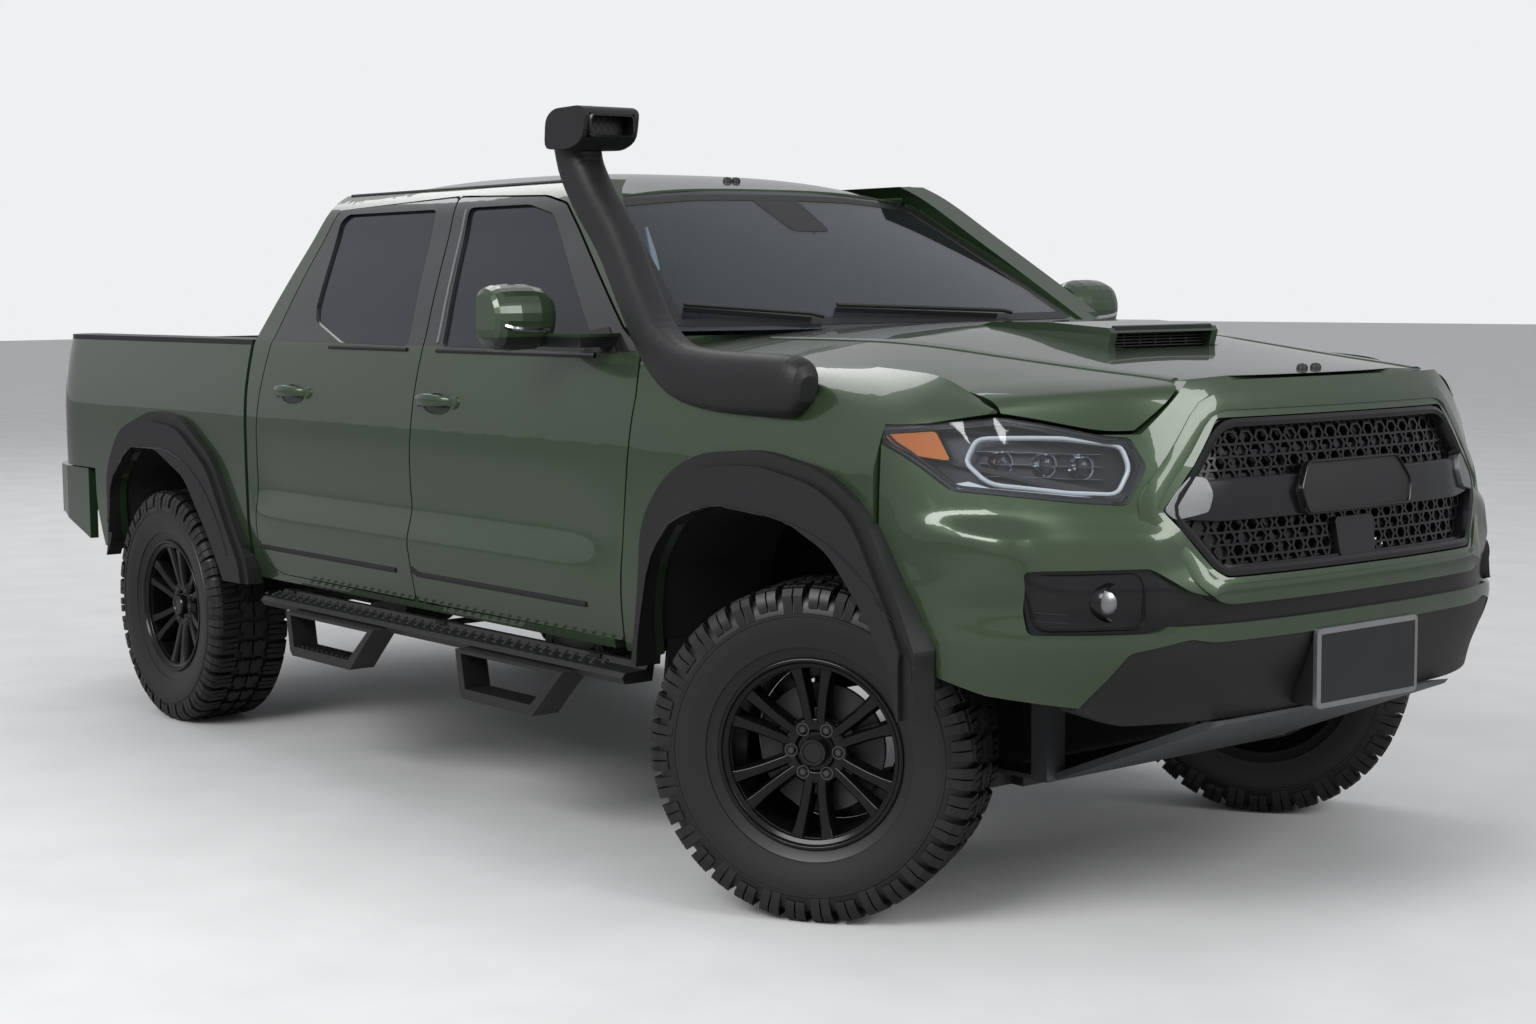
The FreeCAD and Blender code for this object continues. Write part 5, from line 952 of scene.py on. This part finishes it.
# Doors and mirrors
def make_handle(node, skin, x):
    """Cup, its edge and the grip over it, about a middle at x."""
    ring = [(x + 0.068 * math.cos(t), 1.128 + 0.029 * math.sin(t)) for t in turns(28)]
    patch(skin, ring, 0.0016, 0.003, 0.02).make(f"handle_cup_{node}", "grille_black", "trim_black", node)
    edge = strip(skin, ring, 0.006, 0.0030, 0.005, True, 0.02, 0.001)
    edge.make(f"handle_cup_edge_{node}", "body_paint", body=node)
    loops = []
    for k in range(11):
        t = k / 10
        place, normal = skin.at(x - 0.096 + 0.192 * t, 1.134)
        place = place + normal * (0.004 + 0.034 * math.sin(math.pi * t) ** 0.55)
        tall = 0.011 + 0.006 * math.sin(math.pi * t)
        loops.append([place + Vector((0, 0, tall * math.sin(a))) + normal * (0.006 * math.cos(a))
                      for a in turns(12)])
    grip = Builder().loft(loops)
    for shift in (-0.094, 0.094):
        grip.lathe([(-0.002, 0.020), (0.006, 0.017), (0.009, 0.008), (0.0095, 0.0005)], 16,
                   standing(*skin.at(x + shift, 1.134)))
    grip.make(f"door_handle_{node}", "body_paint", body=node, smooth=50)


def make_front_door_trim(side, sign, node, skin):
    """Strip on the rear frame, mirror base, and the mirror's indicator and glass."""
    pane = points_of(f"front_door_glass_{side}")
    low, top = span(p.z for p in pane)
    rear_low, nose = span(p.x for p in pane if p.z < low + 0.02)
    rear_top = min(p.x for p in pane if p.z > top - 0.02)
    edge = strip(skin, [(rear_low - 0.020, low + 0.010), (rear_top - 0.018, top - 0.006)], 0.010, 0.003,
                 0.006, crown=0.001)
    edge.make(f"frame_strip_{side}", "silver", "trim_black", node)
    sail = [(nose + 0.006, low - 0.002), (nose + 0.104, low - 0.002), (nose + 0.020, low + 0.062),
            (nose - 0.055, low + 0.050)]
    patch(skin, sail, 0.003, 0.006, 0.02).make(f"mirror_base_{side}", "trim_black", body=node)
    mirror = f"mirror_{side}"
    line = mirrored([(0.975, 1.338), (1.040, 1.340), (1.085, 1.344), (1.108, 1.350)], sign)
    made = strip(Skin([mirror], "x"), line, 0.013, 0.003, 0.006, False, 0.012, 0.002)
    made.make(f"mirror_indicator_{side}", "chrome", "lamp_clear", node)
    oval = rounded(mirrored([(0.976, 1.318), (1.100, 1.322), (1.098, 1.418), (0.980, 1.426)], sign), 0.03)
    made = patch(Skin([mirror], "-x"), oval, 0.0016, 0.003, 0.02)
    made.make(f"mirror_glass_{side}", "chrome", "tinted_glass", node)


def make_doors():
    for side, sign in SIDES:
        for label, handle_x, sill_ends in (("front_door", 0.270, (0.10, 0.98)),
                                           ("rear_door", -0.575, (-0.90, 0.02))):
            node = f"{label}_{side}"
            skin = Skin([node], "-y" if sign < 0 else "y")
            make_handle(node, skin, handle_x)
            pane = points_of(f"{label}_glass_{side}")
            low = min(p.z for p in pane)
            back, ahead = span(p.x for p in pane if p.z < low + 0.02)
            path = [(back - 0.01, low - 0.010), (ahead + 0.01, low - 0.010)]
            seal = strip(skin, path, 0.014, 0.004, 0.008, pitch=0.04, crown=0.002)
            seal.make(f"waist_seal_{node}", "grille_black", "trim_black", node)
            if label == "front_door":
                make_front_door_trim(side, sign, node, skin)
            sill = strip(skin, [(x, 0.642) for x in sill_ends], 0.016, 0.003, 0.006, pitch=0.04, crown=0.002)
            sill.make(f"sill_strip_{node}", "trim_black", body=node)


make_doors()


# Side steps, intake head and flares
def make_steps():
    """Studs on the rails and treads on the drop hoops."""
    for side, sign in SIDES:
        mine = [p for p in points_of("side_steps") if p.y * sign > 0]
        low, high = span(p.z for p in mine)
        outer = max(p.y * sign for p in mine)
        back, ahead = span(p.x for p in mine if p.z > high - 0.02)
        studs = Builder()
        for row in range(3):
            for k in range(int((ahead - back - 0.10) / 0.045)):
                x = back + 0.06 + k * 0.045 + (0.022 if row % 2 else 0)
                y = (outer - 0.030 - row * 0.022) * sign
                spot = Matrix.Translation((x, y, high)) @ Matrix.Rotation(math.radians(-90), 4, "Y")
                studs.lathe([(-0.002, 0.0072), (0.003, 0.0060), (0.0034, 0.0030), (0.0012, 0.0020)], 8, spot)
        studs.make(f"step_studs_{side}", "step_black")
        treads = Builder()
        for hoop_x in (0.62, -0.28):
            near = [p for p in mine if abs(p.x - hoop_x) < 0.22 and p.z < low + 0.06]
            x0, x1 = span(p.x for p in near)
            x0, x1 = x0 + 0.02, x1 - 0.02
            near_y, far_y = span(p.y * sign for p in near)
            y0, y1 = span(((near_y + 0.012) * sign, (far_y - 0.012) * sign))
            top = max(p.z for p in near if p.z < low + 0.05)
            for k in range(int((x1 - x0) / 0.03)):
                treads.box((x0 + k * 0.03, y0, top - 0.002), (x0 + k * 0.03 + 0.012, y1, top + 0.004))
        treads.make(f"step_treads_{side}", "step_black", bevel=0.001)


def make_intake_head():
    """Grille of six-sided openings with a rim."""
    grid = Builder()
    for row in range(4):
        for column in range(7):
            y = -0.848 + 0.0115 + column * 0.0195 + (0.00975 if row % 2 else 0)
            z = 1.832 + row * 0.0145
            if y > -0.716:
                continue
            grid.loft([[(0.8815 + lift, y + 0.0112 * share * math.cos(t + math.pi / 6),
                         z + 0.0098 * share * math.sin(t + math.pi / 6)) for t in turns(6)]
                       for share, lift in ((1.0, -0.004), (1.0, 0.0), (0.72, 0.0), (0.66, -0.004))],
                      closed=True)
    grid.make("intake_head_grille", "trim_black", smooth=0)
    rim = rounded(rectangle(-0.852, 1.824, -0.711, 1.884), 0.016)
    sections = ((rim, 0.884), (rim, 0.928), (grown(rim, -0.006), 0.930), (grown(rim, -0.005), 0.884))
    made = Builder().loft([[(x, *p) for p in outline] for outline, x in sections], closed=True)
    made.make("intake_head_rim", "grille_black", "trim_black")


def make_flare_edges():
    """Thin line round each arch."""
    for end, axle_x in (("front", 1.771), ("rear", -1.465)):
        for side, sign in SIDES:
            skin = Skin(["arch_flares"], "-y" if sign < 0 else "y")
            angles = [math.radians(a) for a in range(24, 160, 8)]
            path = [(axle_x + 0.535 * math.cos(t), 0.386 + 0.535 * math.sin(t)) for t in angles]
            arc = strip(skin, path, 0.006, 0.0016, 0.004, crown=0.001)
            arc.make(f"flare_edge_{end}_{side}", "grille_black", "trim_black")


make_steps()
make_intake_head()
make_flare_edges()


# Cabin
def soft_box(x0, x1, y0, y1, z0, z1, lean=0.0):
    """Padded block with rounded edges; lean moves its top backwards."""
    loops = []
    last = 8
    for i in range(last + 1):
        t = i / last
        swell = math.sin(math.pi * t) ** 0.4 if 0 < t < 1 else 0.0
        inset = 0.035 * (1 - swell)
        outline = rounded(rectangle(x0 + inset, y0 + inset, x1 - inset, y1 - inset), 0.05)
        loops.append([(a - lean * t, b, z0 + (z1 - z0) * t) for a, b in outline])
    return Builder().loft(loops)


def make_pad(name, shape):
    made = shape.make(name, "seat_cloth", smooth=60)


def make_cabin():
    """Pads over each seat's base and back, and its head rest."""
    seats = (("left", ((0.11, 0.62),)), ("right", ((-0.62, -0.11),)),
             ("bench", ((-0.64, -0.215), (-0.205, 0.205), (0.215, 0.64))))
    for label, places in seats:
        y0, y1 = places[0][0], places[-1][1]
        rear = label == "bench"
        mine = [p for p in points_of("seats") if y0 - 0.01 <= p.y <= y1 + 0.01 and (p.x < 0.0) == rear]
        x = max(p.x for p in mine) - 0.480
        sill = max(p.z for p in mine) - 1.096
        for k, (a, b) in enumerate(places):
            make_pad(f"seat_cushion_{label}_{k}",
                     soft_box(x + 0.095, x + 0.475, a + 0.030, b - 0.030, sill + 0.401, sill + 0.455))
            make_pad(f"seat_back_pad_{label}_{k}",
                     soft_box(x + 0.052, x + 0.096, a + 0.040, b - 0.040, sill + 0.412, sill + 0.925, 0.100))
        middle = (y0 + y1) / 2
        make_pad(f"head_pad_{label}",
                 soft_box(x - 0.060, x - 0.030, middle - 0.110, middle + 0.110, sill + 0.955, sill + 1.085,
                          0.026))


make_cabin()


# Tail
def make_tailgate_trim():
    skin = Skin(["tailgate"], "-x")
    top = max(p.z for p in points_of("tailgate"))
    cup = rounded(rectangle(-0.13, top - 0.090, 0.13, top - 0.175), 0.02)
    patch(skin, cup, 0.0015, 0.003).make("tailgate_cup", "grille_black", "trim_black", "tailgate")
    grip = rounded(rectangle(-0.115, top - 0.098, 0.115, top - 0.142), 0.012)
    patch(skin, grip, 0.016, 0.014).make("tailgate_handle", "trim_black", body="tailgate", bevel=0.004)
    cap = strip(skin, dense([(-0.66, top - 0.022), (0.66, top - 0.022)], 0.05, False), 0.034, 0.004, 0.008,
                crown=0.003)
    cap.make("tailgate_cap", "trim_black", body="tailgate")
    for label, z in (("upper", top - 0.235), ("lower", top - 0.400)):
        press = strip(skin, dense([(-0.56, z), (0.56, z)], 0.05, False), 0.016, 0.0024, 0.006, crown=0.002)
        press.make(f"tailgate_press_{label}", "body_paint", body="tailgate", smooth=60)


def make_bed_ribs():
    x0, x1 = span(p.x for p in points_of("load_bed"))
    skin = Skin(["load_bed"], "z")
    ribs = Builder()
    for k in range(11):
        y = -0.50 + k * 0.10
        path = dense([(x0 + 0.10, y), (x1 - 0.10, y)], 0.10, False)
        strip(skin, path, 0.045, 0.006, 0.010, crown=0.002, builder=ribs)
    ribs.make("bed_floor_ribs", "bed_liner")


def make_tail_lamps():
    """Reversing lamp and two dark bands on each lens."""
    skin = Skin(["tail_lamps"], "-x")
    for side, sign in SIDES:
        mine = [p for p in points_of("tail_lamps") if p.y * sign > 0]
        low, high = span(p.z for p in mine)
        y0, y1 = span(p.y * sign for p in mine)
        tall = high - low
        middle = low + tall * 0.42
        shape = rectangle((y0 + 0.014) * sign, middle - 0.035, (y1 - 0.030) * sign, middle + 0.035)
        made = patch(skin, rounded(shape, 0.008), 0.0015, 0.003, 0.015)
        made.make(f"tail_lamp_reverse_{side}", "white_lens", "lamp_red")
        bands = Builder()
        for z in (low + tall * 0.28, low + tall * 0.56):
            path = mirrored([(y0 + 0.008, z), (y1 - 0.022, z)], sign)
            strip(skin, path, 0.006, 0.002, 0.004, pitch=0.015, builder=bands)
        bands.make(f"tail_lamp_bands_{side}", "grille_black", "lamp_red")


def make_bumper_pad():
    rear = min(p.x for p in points_of("rear_bumper"))
    pad = patch(Skin(["rear_bumper"], "z"), rectangle(rear + 0.025, -0.36, rear + 0.140, 0.36), 0.004, 0.006,
                0.05)
    pad.make("bumper_step_pad", "trim_black", bevel=0.002)


make_tailgate_trim()
make_bed_ribs()
make_tail_lamps()
make_bumper_pad()


# Stage and lights
def make_stage():
    """Floor that looks pale to the camera and lights the underside less."""
    bpy.ops.mesh.primitive_plane_add(size=120, location=(0, 0, 0))
    floor = bpy.context.object
    floor.name = "floor"
    made, tree, bsdf = shader("pale_floor", (0.45, 0.45, 0.45), 0.6)
    grain = texture(tree, 3.0, 6.0)
    tones = []
    for low, high in ((0.34, 0.38), (0.72, 0.78)):
        tones.append(ramp(tree, grain.outputs["Fac"], ((0.3, (low,) * 3), (0.7, (high,) * 3))))
    rays = added(tree, "ShaderNodeLightPath", {})
    tint = mixed_colour(tree, rays.outputs["Is Camera Ray"], *tones)
    tree.links.new(tint, bsdf.inputs["Base Color"])
    floor.data.materials.append(made)


def make_world():
    """Even light, seen as a pale backdrop."""
    world = bpy.data.worlds.new("studio")
    scene.world = world
    world.use_nodes = True
    tree = world.node_tree
    background = tree.nodes["Background"]
    background.inputs["Color"].default_value = (0.95, 0.97, 1.0, 1)
    background.inputs["Strength"].default_value = 0.5
    seen = added(tree, "ShaderNodeBackground", {"Color": (0.86, 0.87, 0.88, 1)})
    rays = added(tree, "ShaderNodeLightPath", {})
    mix = added(tree, "ShaderNodeMixShader", {"Fac": rays.outputs["Is Camera Ray"],
                                              1: background.outputs["Background"],
                                              2: seen.outputs["Background"]})
    tree.links.new(mix.outputs["Shader"], tree.nodes["World Output"].inputs["Surface"])


def area_light(name, at, aim, wide, tall, watts):
    data = bpy.data.lights.new(name, "AREA")
    data.shape = "RECTANGLE"
    data.size, data.size_y = wide, tall
    data.energy = watts
    made = bpy.data.objects.new(name, data)
    made.location = at
    made.rotation_mode = "QUATERNION"
    made.rotation_quaternion = (Vector(aim) - Vector(at)).to_track_quat("-Z", "Y")
    scene.collection.objects.link(made)


make_stage()
make_world()
area_light("key", (3.0, -9.0, 7.0), (0.5, 0, 0.8), 7, 4, 760)
area_light("front", (9.0, 1.0, 5.0), (1.5, 0, 0.8), 5, 3, 280)
area_light("rear", (-9.0, 2.0, 10.0), (-1.0, 0, 0.8), 8, 7, 380)
